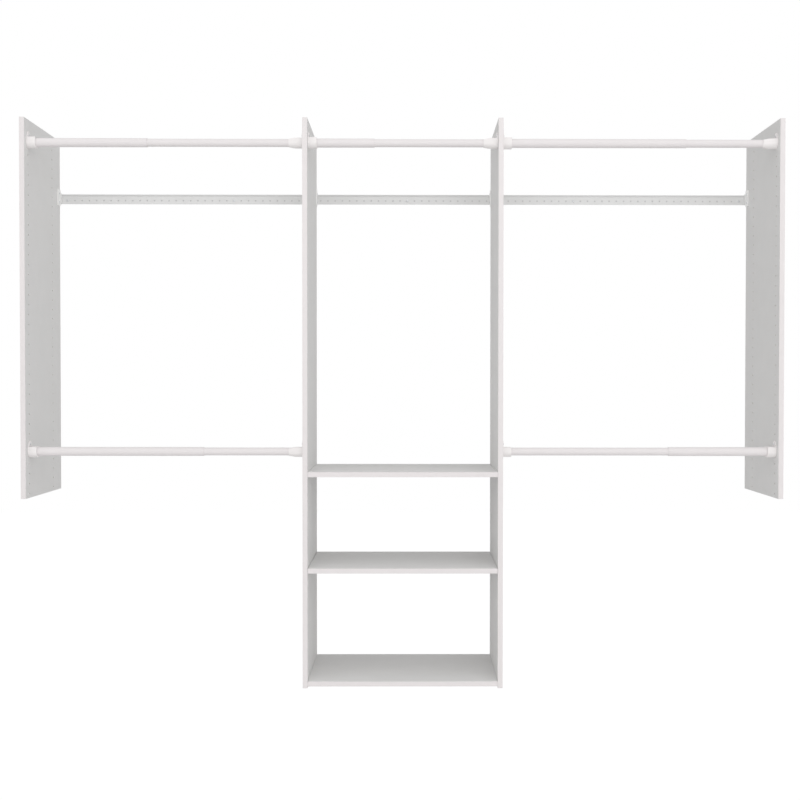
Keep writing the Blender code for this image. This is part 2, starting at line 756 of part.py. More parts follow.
def add_carrier(name, parent=None):
    """An empty that carries the pieces that move as one."""
    carrier = bpy.data.objects.new(name, None)
    carrier.parent = parent
    bpy.context.scene.collection.objects.link(carrier)
    return carrier


def build():
    clear_scene()
    frame = add_carrier("closet")
    left_side = add_carrier("left_side", frame)
    right_side = add_carrier("right_side", frame)
    panels = (
        ("left_side", -SIDE_FACE, LEFT, SIDE_HEIGHT, left_side),
        ("right_side", SIDE_FACE, RIGHT, SIDE_HEIGHT, right_side),
        ("left_tower", -TOWER_FACE, LEFT, TOWER_HEIGHT, frame),
        ("right_tower", TOWER_FACE, RIGHT, TOWER_HEIGHT, frame),
    )
    for name, face, side, height, carrier in panels:
        add_panel(name + "_panel", face, side, height, carrier is frame, carrier)
        add_hanger(name + "_hanger", face, side, carrier)
    add_rail(frame)
    carriers = {("left", LEFT): left_side, ("right", RIGHT): right_side}
    for name, bay, row, thick_end, step_share in RODS:
        add_rod(name, bay, row, thick_end, step_share, carriers.get((bay, thick_end), frame))
        for label, end, face in zip(("left", "right"), (LEFT, RIGHT), BAYS[bay]):
            tube_radius = THICK_TUBE_RADIUS if end == thick_end else THIN_TUBE_RADIUS
            add_cup(name + "_" + label + "_cup", face, end, row, tube_radius, carriers.get((bay, end), frame))
    for name, row in (("top_shelf", TOP_SHELF_ROW), ("bottom_shelf", BOTTOM_SHELF_ROW)):
        add_fixed_shelf(name, row, frame)
        add_shelf_bolts(name, row, frame)
    add_shelf_pins(MIDDLE_SHELF_ROW, frame)
    add_loose_shelf("middle_shelf", MIDDLE_SHELF_ROW, frame)


build()
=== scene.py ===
"""Looks of a white wall mounted closet system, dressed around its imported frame. Lengths are in metres.

+X runs to the right along the wall rail, +Y into the wall and +Z up. The origin is on the back of the rail.
"""
from __future__ import annotations

import json
import logging
import math
from collections.abc import Callable, Iterable, Sequence
from dataclasses import dataclass, field, replace
from enum import Enum, IntEnum
from functools import cache

import bmesh
import bpy
from mathutils import Matrix, Vector
from mathutils.geometry import delaunay_2d_cdt

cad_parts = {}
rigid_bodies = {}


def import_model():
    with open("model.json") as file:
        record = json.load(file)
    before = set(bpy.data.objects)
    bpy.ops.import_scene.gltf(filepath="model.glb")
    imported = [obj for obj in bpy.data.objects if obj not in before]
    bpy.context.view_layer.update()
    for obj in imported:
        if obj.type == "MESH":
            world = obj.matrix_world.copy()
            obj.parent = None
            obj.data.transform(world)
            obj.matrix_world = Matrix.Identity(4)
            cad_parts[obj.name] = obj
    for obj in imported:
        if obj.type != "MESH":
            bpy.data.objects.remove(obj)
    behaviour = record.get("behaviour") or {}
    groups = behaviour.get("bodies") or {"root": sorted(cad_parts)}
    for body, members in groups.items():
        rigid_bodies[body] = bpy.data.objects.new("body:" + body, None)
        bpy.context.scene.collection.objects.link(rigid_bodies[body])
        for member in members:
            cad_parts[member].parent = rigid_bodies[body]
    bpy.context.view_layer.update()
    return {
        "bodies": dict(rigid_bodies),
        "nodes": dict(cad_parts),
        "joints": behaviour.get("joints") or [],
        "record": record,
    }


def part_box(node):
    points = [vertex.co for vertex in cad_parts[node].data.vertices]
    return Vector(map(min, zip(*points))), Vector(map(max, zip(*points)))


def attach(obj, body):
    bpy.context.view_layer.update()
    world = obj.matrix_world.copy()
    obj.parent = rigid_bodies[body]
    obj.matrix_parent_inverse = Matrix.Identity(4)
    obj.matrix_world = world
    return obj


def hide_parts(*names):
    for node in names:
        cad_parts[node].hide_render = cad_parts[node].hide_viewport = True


LOG = logging.getLogger("closet")

Point = tuple[float, float]
Colour = tuple[float, float, float]
Place = Callable[[float, float], Vector]
Profile = Sequence[Point]
Section = tuple[float, list[Point], list[Point]]
Ring = list[bmesh.types.BMVert]
Tree = bpy.types.NodeTree
Socket = bpy.types.NodeSocket
Inputs = dict[str | int, object]

SMOOTH_ANGLE = math.radians(35)
QUARTER_TURN = math.pi / 2


class Side(Enum):
    """Which way along the rail something faces or lies."""

    LEFT = -1
    RIGHT = 1

    @property
    def opposite(self) -> Side:
        """The other side."""
        return Side(-self.value)


class Layer(IntEnum):
    """Which of a piece's finishes a face gets."""

    SKIN = 0
    CORE = 1


class Relief(Enum):
    """How the fine surface of a finish is made."""

    PEBBLE = "pebble"
    DRAWN = "drawn"
    CHIPS = "chips"


def feed(node: bpy.types.Node, inputs: Inputs) -> bpy.types.Node:
    """Sets a shader node's inputs.

    Args:
        node: The node.
        inputs: What each of them gets, which is a value or the output that it is linked from.

    Returns:
        The node.
    """
    for key, value in inputs.items():
        if isinstance(value, Socket):
            node.id_data.links.new(value, node.inputs[key])
        else:
            node.inputs[key].default_value = value
    return node


def added(tree: Tree, kind: str, inputs: Inputs | None = None) -> bpy.types.Node:
    """Adds a shader node.

    Args:
        tree: The nodes to add it to.
        kind: Its type.
        inputs: What its inputs get.

    Returns:
        The node.
    """
    return feed(tree.nodes.new(kind), inputs or {})


@dataclass(frozen=True)
class Finish:
    """A surface finish, whose relief and mottling have real sizes.

    Attributes:
        name: Name of the material.
        slot: Material slot of the record that the finish belongs to.
        colour: Mean base colour.
        roughness: Mean roughness.
        mottle: How far the colour varies, as a share of itself.
        mottle_size: Size of a patch of the mottling.
        relief: How the fine surface is made.
        relief_size: Size of one grain of the surface.
        relief_depth: Depth of the surface's grain.
        metallic: 1 for bare metal.
        coat: Weight of a clear coat.
        specular: Level of the reflection off the surface.
        drawn_axis: Axis along which drawn lines run.
    """

    name: str
    slot: str
    colour: Colour
    roughness: float
    mottle: float
    mottle_size: float
    relief: Relief
    relief_size: float
    relief_depth: float
    metallic: float = 0.0
    coat: float = 0.0
    specular: float = 0.5
    drawn_axis: int = 2

    # How much longer than wide a drawn line is
    DRAWN_STRETCH = 40
    # How far the roughness varies, and the clear coat's share of it
    ROUGHNESS_SWING = 0.12
    COAT_ROUGHNESS_SHARE = 0.5
    # Detail of the noise, and the levels in it where a patch is darkest and lightest
    NOISE_DETAIL = 3
    PATCH_LEVELS = (0.3, 0.7)

    @cache
    def material(self) -> bpy.types.Material:
        """The finish as a node material, made once.

        Returns:
            The material.
        """
        material = bpy.data.materials.new(self.name)
        material.use_nodes = True
        tree = material.node_tree
        place = added(tree, "ShaderNodeTexCoord").outputs["Object"]
        patches = self._noise(tree, place, self.mottle_size)
        surface = {
            "Metallic": self.metallic,
            "Specular IOR Level": self.specular,
            "Coat Weight": self.coat,
            "Coat Roughness": self.roughness * self.COAT_ROUGHNESS_SHARE,
            "Base Color": self._mottled(tree, patches),
            "Roughness": self._uneven(tree, patches),
            "Normal": self._raised(tree, place),
        }
        feed(tree.nodes["Principled BSDF"], surface)
        return material

    def _noise(self, tree: Tree, place: Socket, size: float) -> Socket:
        """A noise whose patches have a given size.

        Args:
            tree: The material's nodes.
            place: Coordinates in metres.
            size: Size of a patch.

        Returns:
            The noise's value.
        """
        inputs = {"Vector": place, "Scale": 1 / size, "Detail": self.NOISE_DETAIL}
        return added(tree, "ShaderNodeTexNoise", inputs).outputs["Fac"]

    def _mottled(self, tree: Tree, patches: Socket) -> Socket:
        """The base colour, a little darker and lighter in patches.

        Args:
            tree: The material's nodes.
            patches: A value from 0 to 1.

        Returns:
            The colour.
        """
        ramp = added(tree, "ShaderNodeValToRGB", {"Fac": patches})
        shares = (1 - self.mottle, 1 + self.mottle)
        for stop, level, share in zip(ramp.color_ramp.elements, self.PATCH_LEVELS, shares):
            stop.position = level
            stop.color = (*(min(1.0, channel * share) for channel in self.colour), 1)
        return ramp.outputs["Color"]

    def _uneven(self, tree: Tree, patches: Socket) -> Socket:
        """The roughness, a little lower and higher in patches.

        Args:
            tree: The material's nodes.
            patches: A value from 0 to 1.

        Returns:
            The roughness.
        """
        low = self.roughness * (1 - self.ROUGHNESS_SWING)
        high = self.roughness * (1 + self.ROUGHNESS_SWING)
        inputs = {"Value": patches, "To Min": low, "To Max": high}
        return added(tree, "ShaderNodeMapRange", inputs).outputs["Result"]

    def _raised(self, tree: Tree, place: Socket) -> Socket:
        """The fine surface.

        Args:
            tree: The material's nodes.
            place: Coordinates in metres.

        Returns:
            Its normal.
        """
        if self.relief is Relief.CHIPS:
            cells = added(tree, "ShaderNodeTexVoronoi", {"Vector": place, "Scale": 1 / self.relief_size})
            height = cells.outputs["Distance"]
        else:
            if self.relief is Relief.DRAWN:
                stretch = added(tree, "ShaderNodeMapping", {"Vector": place})
                stretch.inputs["Scale"].default_value[self.drawn_axis] = 1 / self.DRAWN_STRETCH
                place = stretch.outputs["Vector"]
            height = self._noise(tree, place, self.relief_size)
        bump = added(tree, "ShaderNodeBump", {"Height": height, "Distance": self.relief_depth})
        return bump.outputs["Normal"]


MELAMINE = Finish(
    name="white_melamine", slot="white_melamine_board", colour=(0.783, 0.777, 0.77),
    roughness=0.65, mottle=0.012, mottle_size=0.06,
    relief=Relief.PEBBLE, relief_size=0.0011, relief_depth=0.00006,
    specular=0.06,
)
PARTICLE_CORE = Finish(
    name="particle_core", slot="white_melamine_board", colour=(0.66, 0.62, 0.58),
    roughness=0.85, mottle=0.20, mottle_size=0.0016,
    relief=Relief.CHIPS, relief_size=0.0014, relief_depth=0.0002,
)
EDGE_BAND = Finish(
    name="edge_band_upright", slot="white_edge_band", colour=(0.785, 0.748, 0.748),
    roughness=0.32, mottle=0.010, mottle_size=0.04,
    relief=Relief.DRAWN, relief_size=0.0006, relief_depth=0.00003,
)
EDGE_BAND_ACROSS = replace(EDGE_BAND, name="edge_band_level", drawn_axis=0)
# The rail's white is greyer than the hanger's and tube's paint on the same steel: partly its own coat, partly
# painted shade of its corner against the wall.
RAIL_COAT_AND_SHADE = Finish(
    name="white_rail_coat", slot="white_painted_steel", colour=(0.755, 0.755, 0.75),
    roughness=0.45, mottle=0.008, mottle_size=0.05,
    relief=Relief.PEBBLE, relief_size=0.0016, relief_depth=0.00005,
    specular=0.3,
)
HANGER_COAT = Finish(
    name="white_hanger_coat", slot="white_painted_steel", colour=(0.93, 0.925, 0.915),
    roughness=0.42, mottle=0.008, mottle_size=0.05,
    relief=Relief.PEBBLE, relief_size=0.0016, relief_depth=0.00005,
    coat=0.1,
)
TUBE_PAINT = Finish(
    name="white_tube_paint", slot="white_painted_steel", colour=(0.795, 0.762, 0.765),
    roughness=0.45, mottle=0.008, mottle_size=0.05,
    relief=Relief.DRAWN, relief_size=0.0012, relief_depth=0.00003,
    specular=0.2, drawn_axis=0,
)
MOULDED_PLASTIC = Finish(
    name="white_cup_plastic", slot="white_moulded_plastic", colour=(0.875, 0.845, 0.84),
    roughness=0.40, mottle=0.008, mottle_size=0.02,
    relief=Relief.PEBBLE, relief_size=0.0007, relief_depth=0.00004,
)
ZINC_PLATE = Finish(
    name="bright_zinc_plate", slot="zinc_plated_steel", colour=(0.72, 0.73, 0.74),
    roughness=0.34, mottle=0.05, mottle_size=0.003,
    relief=Relief.PEBBLE, relief_size=0.0005, relief_depth=0.00002,
    metallic=1.0,
)


def circle(centre: Point, radius: float, sides: int) -> list[Point]:
    """Corners of a regular polygon, the first one straight up.

    Args:
        centre: Its centre.
        radius: Distance from the centre to a corner.
        sides: How many sides it has.

    Returns:
        The corners, in order.
    """
    turns = [QUARTER_TURN + math.tau * step / sides for step in range(sides)]
    return [(centre[0] + radius * math.cos(turn), centre[1] + radius * math.sin(turn)) for turn in turns]


def bend(start: Vector, corner: Vector, end: Vector, steps: int) -> list[Point]:
    """Points of a smooth bend round a corner.

    Args:
        start: Where it starts, on one edge.
        corner: The corner.
        end: Where it ends, on the other edge.
        steps: How many edges it has.

    Returns:
        The points, with both ends.
    """
    points = []
    for step in range(steps + 1):
        share = step / steps
        along = start.lerp(corner, share).lerp(corner.lerp(end, share), share)
        points.append((along.x, along.y))
    return points


def rounded(outline: Sequence[Point], radius: float, steps: int = 3) -> list[Point]:
    """An outline whose corners are rounded, each by no more than a third of its shorter edge.

    Args:
        outline: Corners, in order.
        radius: How far from its corner a rounding starts.
        steps: How many edges a rounding has.

    Returns:
        The rounded outline.
    """
    points = []
    for number, corner in enumerate(outline):
        here = Vector(corner)
        before = Vector(outline[number - 1]) - here
        after = Vector(outline[(number + 1) % len(outline)]) - here
        reach = min(radius, before.length / 3, after.length / 3)
        start = here + before.normalized() * reach
        end = here + after.normalized() * reach
        points += bend(start, here, end, steps)
    return points


def rectangle(low: Point, high: Point, inset: float = 0.0) -> list[Point]:
    """Corners of a rectangle, drawn in all round.

    Args:
        low: Lowest corner.
        high: Highest corner.
        inset: How far it is drawn in.

    Returns:
        Its four corners.
    """
    left, right = low[0] + inset, high[0] - inset
    bottom, top = low[1] + inset, high[1] - inset
    return [(left, bottom), (right, bottom), (right, top), (left, top)]


def across(x: float) -> Place:
    """Places flat points in the plane at x, as depth and height."""
    return lambda y, z: Vector((x, y, z))


def upright(y: float) -> Place:
    """Places flat points in the plane at y, as width and height."""
    return lambda x, z: Vector((x, y, z))


def horizontal(z: float) -> Place:
    """Places flat points in the plane at z, as width and depth."""
    return lambda x, y: Vector((x, y, z))


def along_x(side: Side) -> Matrix:
    """Turns a piece whose axis is +Z so that it points to a side."""
    return Matrix(((0, 0, side.value), (side.value, 0, 0), (0, 1, 0))).to_4x4()


def towards_room() -> Matrix:
    """Turns a piece whose axis is +Z so that it points away from the wall."""
    return Matrix(((1, 0, 0), (0, 0, -1), (0, 1, 0))).to_4x4()


class Shaper:
    """Builds one closed mesh from rings of corners."""

    # What a triangulation gives, which is the triangles inside its edges, and how near corners are joined
    INSIDE_EDGES = 1
    JOIN_DISTANCE = 0

    def __init__(self) -> None:
        """Starts an empty mesh."""
        self.mesh = bmesh.new()

    def ring(self, points: Iterable[Point], place: Place) -> Ring:
        """Corners for flat points.

        Args:
            points: The flat points.
            place: What carries them to their place.

        Returns:
            The corners, in order.
        """
        return [self.mesh.verts.new(place(*point)) for point in points]

    def bridge(self, first: Ring, second: Ring, closed: bool = True, layer: Layer = Layer.SKIN) -> None:
        """Quads between two rings with the same number of corners.

        Args:
            first: One ring.
            second: The other ring.
            closed: Whether the rings close on themselves.
            layer: Which of the piece's finishes the quads get.
        """
        count = len(first)
        for step in range(count if closed else count - 1):
            after = (step + 1) % count
            face = self.mesh.faces.new((first[step], first[after], second[after], second[step]))
            face.material_index = layer

    def fill(self, outline: Ring, *holes: Ring, layer: Layer = Layer.SKIN) -> None:
        """A flat face inside the outline, less the holes, which are convex.

        Args:
            outline: The outer ring.
            holes: The rings of the holes.
            layer: Which of the piece's finishes the face gets.
        """
        if not holes:
            self.mesh.faces.new(outline).material_index = layer
            return
        rings = (outline, *holes)
        corners = [corner for ring in rings for corner in ring]
        spans = [max(place) - min(place) for place in zip(*(corner.co for corner in corners))]
        flat = [axis for axis in range(3) if axis != spans.index(min(spans))]
        points = [Vector((corner.co[flat[0]], corner.co[flat[1]])) for corner in corners]
        owners: list[int] = []
        edges: list[tuple[int, int]] = []
        for number, ring in enumerate(rings):
            start = len(owners)
            owners += [number] * len(ring)
            edges += [(start + step, start + (step + 1) % len(ring)) for step in range(len(ring))]
        _, _, triangles, *_ = delaunay_2d_cdt(points, edges, [], self.INSIDE_EDGES, self.JOIN_DISTANCE)
        for triangle in triangles:
            touched = {owners[corner] for corner in triangle}
            # A triangle with all its corners on one hole's ring lies in that hole
            if len(touched) > 1 or touched == {0}:
                self.mesh.faces.new([corners[corner] for corner in triangle]).material_index = layer

    def turn(self, profile: Profile, sides: int, place: Matrix, tube: bool = False) -> None:
        """A turned solid about its own Z axis.

        Args:
            profile: Pairs of height and radius, from one end to the other, or round a tube's wall.
            sides: How many sides it has.
            place: What carries it to its place.
            tube: Whether the profile closes on itself.
        """
        rings = []
        for along, radius in profile:
            corners = circle((0, 0), radius, sides)
            rings.append([self.mesh.verts.new(place @ Vector((x, y, along))) for x, y in corners])
        for first, second in zip(rings, rings[1:] + rings[:1] if tube else rings[1:]):
            self.bridge(first, second)
        if not tube:
            self.fill(rings[0])
            self.fill(rings[-1])

    def block(self, low: Vector, high: Vector) -> None:
        """A plain block between two corners, for cutting with.

        Args:
            low: Lowest corner.
            high: Highest corner.
        """
        corners = rectangle((low.y, low.z), (high.y, high.z))
        near = self.ring(corners, across(low.x))
        far = self.ring(corners, across(high.x))
        self.bridge(near, far)
        self.fill(near)
        self.fill(far)

    def data(self, name: str) -> bpy.types.Mesh:
        """Ends the work and gives the mesh.

        Args:
            name: Name of the mesh.

        Returns:
            The mesh, with its faces pointing out and its round faces smooth.
        """
        bmesh.ops.recalc_face_normals(self.mesh, faces=self.mesh.faces)
        data = bpy.data.meshes.new(name)
        self.mesh.to_mesh(data)
        self.mesh.free()
        data.shade_smooth()
        data.set_sharp_from_angle(angle=SMOOTH_ANGLE)
        return data


def middle_of(node: str) -> Point:
    """Depth and height of the middle of a node's box."""
    low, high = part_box(node)
    return (low.y + high.y) / 2, (low.z + high.z) / 2


def linked(name: str, data: bpy.types.ID) -> bpy.types.Object:
    """Adds an object to the scene.

    Args:
        name: Name of the object.
        data: Its mesh, lamp or lens.

    Returns:
        The object.
    """
    item = bpy.data.objects.new(name, data)
    bpy.context.scene.collection.objects.link(item)
    return item


def softened(
    shaper: Shaper, low: Vector, high: Vector, ends: tuple[float, float], edge: float
) -> tuple[Ring, Ring]:
    """The four sides of a board whose edges are softened all round.

    Args:
        shaper: The board's mesh.
        low: Lowest corner of the board.
        high: Highest corner of the board.
        ends: The two planes of x that the sides run between.
        edge: Width of the softened edges.

    Returns:
        The rings in the two planes, which are still open.
    """
    start, end = ends
    inward = math.copysign(edge, end - start)
    full = rounded(rectangle((low.y, low.z), (high.y, high.z)), edge)
    drawn_in = rounded(rectangle((low.y, low.z), (high.y, high.z), edge), edge)
    planes = ((start, drawn_in), (start + inward, full), (end - inward, full), (end, drawn_in))
    rings = [shaper.ring(outline, across(x)) for x, outline in planes]
    for first, second in zip(rings, rings[1:]):
        shaper.bridge(first, second)
    return rings[0], rings[-1]


def applied(solid: bpy.types.Object) -> bpy.types.Mesh:
    """The mesh that an object's modifiers give.

    Args:
        solid: The object, which is removed.

    Returns:
        The new mesh, with its round faces smooth.
    """
    bpy.context.view_layer.update()
    result = bpy.data.meshes.new_from_object(solid.evaluated_get(bpy.context.evaluated_depsgraph_get()))
    bpy.data.objects.remove(solid)
    result.shade_smooth()
    result.set_sharp_from_angle(angle=SMOOTH_ANGLE)
    return result


def carved(data: bpy.types.Mesh, cutters: Iterable[bpy.types.Mesh]) -> bpy.types.Mesh:
    """A mesh less its cutters.

    Args:
        data: The solid's mesh.
        cutters: What is cut away.

    Returns:
        The new mesh, with its round faces smooth.
    """
    solid = linked(data.name, data)
    tools = []
    for cutter in cutters:
        tool = linked(cutter.name, cutter)
        cut = solid.modifiers.new("cut", "BOOLEAN")
        cut.operation = "DIFFERENCE"
        cut.solver = "EXACT"
        cut.object = tool
        tools.append(tool)
    result = applied(solid)
    for tool in tools:
        bpy.data.objects.remove(tool)
    return result


class Dresser:
    """Puts pieces on the frame's bodies and finishes on its nodes."""

    def __init__(self, frame: dict) -> None:
        """Reads which body each node is in.

        Args:
            frame: The loaded frame.
        """
        self.nodes: dict[str, bpy.types.Object] = frame["nodes"]
        bodies = frame["record"]["behaviour"]["bodies"]
        self.body_of = {node: body for body, members in bodies.items() for node in members}

    def add(
        self,
        name: str,
        data: bpy.types.Mesh,
        finishes: Sequence[Finish],
        node: str,
        location: Vector | None = None,
        stands_for: bool = True,
    ) -> bpy.types.Object:
        """Adds a piece that rides on the body of a node.

        Args:
            name: Name of the piece.
            data: Its mesh.
            finishes: Its finishes, the skin first.
            node: The node that it stands for or is fixed to.
            location: Where its mesh's origin goes.
            stands_for: Whether the node is hidden.

        Returns:
            The piece.
        """
        # A mesh that pieces share has its finishes from the first of them
        if not data.materials:
            for finish in finishes:
                data.materials.append(finish.material())
        piece = linked(name, data)
        if location is not None:
            piece.location = location
        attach(piece, self.body_of[node])
        if stands_for:
            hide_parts(node)
        LOG.info("%s: %d faces", name, len(data.polygons))
        return piece

    def paint(self, node: str, finish: Finish) -> None:
        """Gives a node that is kept a better finish.

        Args:
            node: Name of the node.
            finish: Its finish.
        """
        kept = self.nodes[node]
        for slot in kept.material_slots:
            slot.link = "OBJECT"
            slot.material = finish.material()
        LOG.info("%s: painted %s", node, finish.name)


@dataclass
class HoleRows:
    """System holes in a front and a rear column down a panel.

    Attributes:
        pitch: Distance between two rows.
        radius: Radius of a hole.
        sides: How many sides a hole is drawn with.
        first_drop: Height of the panel's top over the first row.
        last_margin: Least height of the last row over the panel's bottom.
        front_setback: Distance from the panel's front to the front column.
        rear_setback: Distance from the panel's back to the rear column.
        mouth: Width of the softened edge of a hole.
    """

    pitch: float = 0.032
    radius: float = 0.0025
    sides: int = 16
    first_drop: float = 0.050
    last_margin: float = 0.0135
    front_setback: float = 0.037
    rear_setback: float = 0.084
    mouth: float = 0.0002

    def centres(self, front: float, back: float, bottom: float, top: float) -> list[Point]:
        """Places of the holes.

        Args:
            front: Depth of the panel's front.
            back: Depth of its back.
            bottom: Height of its bottom.
            top: Height of its top.

        Returns:
            Depth and height of each hole.
        """
        rows = int((top - bottom - self.first_drop - self.last_margin) / self.pitch) + 1
        heights = [top - self.first_drop - row * self.pitch for row in range(rows)]
        columns = (front + self.front_setback, back - self.rear_setback)
        return [(depth, height) for height in heights for depth in columns]


@dataclass
class HungPanel:
    """A drilled vertical panel of melamine faced board, with a band on its front edge.

    Attributes:
        name: Name of its node.
        side: The side that its outer face looks to.
        drilled_through: Whether its holes go through.
        edge: Width of its softened edges.
        blind_depth: Depth of the holes that don't go through.
        holes: Its system holes.
        pilot_setback: Distance of the hanger's screws from the back edge.
        pilot_heights: Heights of the hanger's screws.
        pilot_radius: Radius of the holes for the hanger's screws.
    """

    name: str
    side: Side
    drilled_through: bool
    edge: float = 0.0004
    blind_depth: float = 0.012
    holes: HoleRows = field(default_factory=HoleRows)
    pilot_setback: float = 0.015
    pilot_heights: tuple[float, ...] = (0.020, -0.010)
    pilot_radius: float = 0.0020

    @property
    def face(self) -> float:
        """Where the drilled inner face is."""
        low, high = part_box(self.name)
        return high.x if self.side is Side.LEFT else low.x

    def drill(
        self, shaper: Shaper, centre: Point, radius: float, start: float, end: float, through: bool
    ) -> list[Ring]:
        """One hole, with a softened mouth at each end that opens.

        Args:
            shaper: The panel's mesh.
            centre: Depth and height of the hole.
            radius: Its radius.
            start: The plane that it opens in.
            end: The plane that it ends in.
            through: Whether it opens in that plane too.

        Returns:
            The rings that open in a face, one or two.
        """
        inward = math.copysign(self.holes.mouth, end - start)
        wide = circle(centre, radius + self.holes.mouth, self.holes.sides)
        narrow = circle(centre, radius, self.holes.sides)
        mouths = [shaper.ring(wide, across(start))]
        bore = shaper.ring(narrow, across(start + inward))
        shaper.bridge(mouths[0], bore)
        if through:
            far_bore = shaper.ring(narrow, across(end - inward))
            mouths.append(shaper.ring(wide, across(end)))
            shaper.bridge(bore, far_bore, layer=Layer.CORE)
            shaper.bridge(far_bore, mouths[1])
        else:
            floor = shaper.ring(narrow, across(end))
            shaper.bridge(bore, floor, layer=Layer.CORE)
            shaper.fill(floor, layer=Layer.CORE)
        return mouths

    def board(self) -> bpy.types.Mesh:
        """The drilled board.

        Returns:
            Its mesh.
        """
        low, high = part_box(self.name)
        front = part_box(self.name + "_edge_band")[0].y
        outer = low.x if self.side is Side.LEFT else high.x
        shaper = Shaper()
        inner_ring, outer_ring = softened(shaper, low, high, (self.face, outer), self.edge)
        inner_mouths = []
        outer_mouths = []
        blind_end = self.face + self.side.value * self.blind_depth
        end = outer if self.drilled_through else blind_end
        for centre in self.holes.centres(front, high.y, low.z, high.z):
            mouths = self.drill(shaper, centre, self.holes.radius, self.face, end, self.drilled_through)
            inner_mouths.append(mouths[0])
            outer_mouths += mouths[1:]
        for height in self.pilot_heights:
            centre = (high.y - self.pilot_setback, height)
            inner_mouths += self.drill(shaper, centre, self.pilot_radius, self.face, blind_end, False)
        shaper.fill(inner_ring, *inner_mouths)
        shaper.fill(outer_ring, *outer_mouths)
        return shaper.data(self.name + "_board")

    def build(self, dresser: Dresser) -> None:
        """Adds the panel and paints its band."""
        dresser.add(self.name + "_board", self.board(), (MELAMINE, PARTICLE_CORE), self.name)
        dresser.paint(self.name + "_edge_band", EDGE_BAND)


@dataclass
class WallRail:
    """The punched steel rail, whose top is bent out to a sloping lip.

    Attributes:
        node: Name of its node.
        gauge: Thickness of the steel.
        hole_pitch: Distance between two holes.
        hole_radius: Radius of a hole.
        hole_sides: How many sides a hole is drawn with.
        lip_run: How far the back of the lip leans out, which is as far as it rises.
        bend_radius: How far from the fold the bend starts.
        bend_steps: How many flats the bend is drawn with.
    """

    node: str = "hanging_rail"
    gauge: float = 0.0016
    hole_pitch: float = 0.0254
    hole_radius: float = 0.003
    hole_sides: int = 20
    lip_run: float = 0.0055
    bend_radius: float = 0.0016
    bend_steps: int = 4

    @property
    def face(self) -> float:
        """Where the rail's front face is."""
        return -self.gauge

    def hole_places(self) -> list[float]:
        """Distances along the rail of its holes.

        Returns:
            One place for each hole, even about the middle.
        """
        low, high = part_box(self.node)
        count = round((high.x - low.x) / self.hole_pitch)
        return [(step - (count - 1) / 2) * self.hole_pitch for step in range(count)]

    def fold(self, top: float) -> list[Point]:
        """Depth and height of the rail's back above its web, through the bend to the lip's top.

        Args:
            top: Height of the lip's top.

        Returns:
            The points, upwards.
        """
        root = Vector((0, top - self.lip_run))
        start = root - Vector((0, self.bend_radius))
        end = root + Vector((-1, 1)).normalized() * self.bend_radius
        web_end = (start.x, start.y - self.bend_radius)
        return [web_end, *bend(start, root, end, self.bend_steps), (-self.lip_run, top)]

    def build(self, dresser: Dresser) -> None:
        """Adds the rail.

        Args:
            dresser: What puts it on the frame.
        """
        low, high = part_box(self.node)
        fold = self.fold(high.z)
        shaper = Shaper()
        web = shaper.ring(rectangle((low.x, low.z), (high.x, fold[0][1])), upright(0))
        holes = [circle((x, 0), self.hole_radius, self.hole_sides) for x in self.hole_places()]
        shaper.fill(web, *(shaper.ring(hole, upright(0)) for hole in holes))
        below = [web[3], web[2]]
        for depth, height in fold[1:]:
            above = shaper.ring([(low.x, height), (high.x, height)], upright(depth))
            shaper.bridge(below, above, closed=False)
            below = above
        data = shaper.data("rail_back")
        if data.polygons[0].normal.y < 0:
            data.flip_normals()
        sheet = linked("rail_sheet", data)
        thicken = sheet.modifiers.new("gauge", "SOLIDIFY")
        thicken.thickness = self.gauge
        thicken.offset = -1
        thicken.use_even_offset = True
        dresser.add("wall_rail", applied(sheet), (RAIL_COAT_AND_SHADE,), self.node)


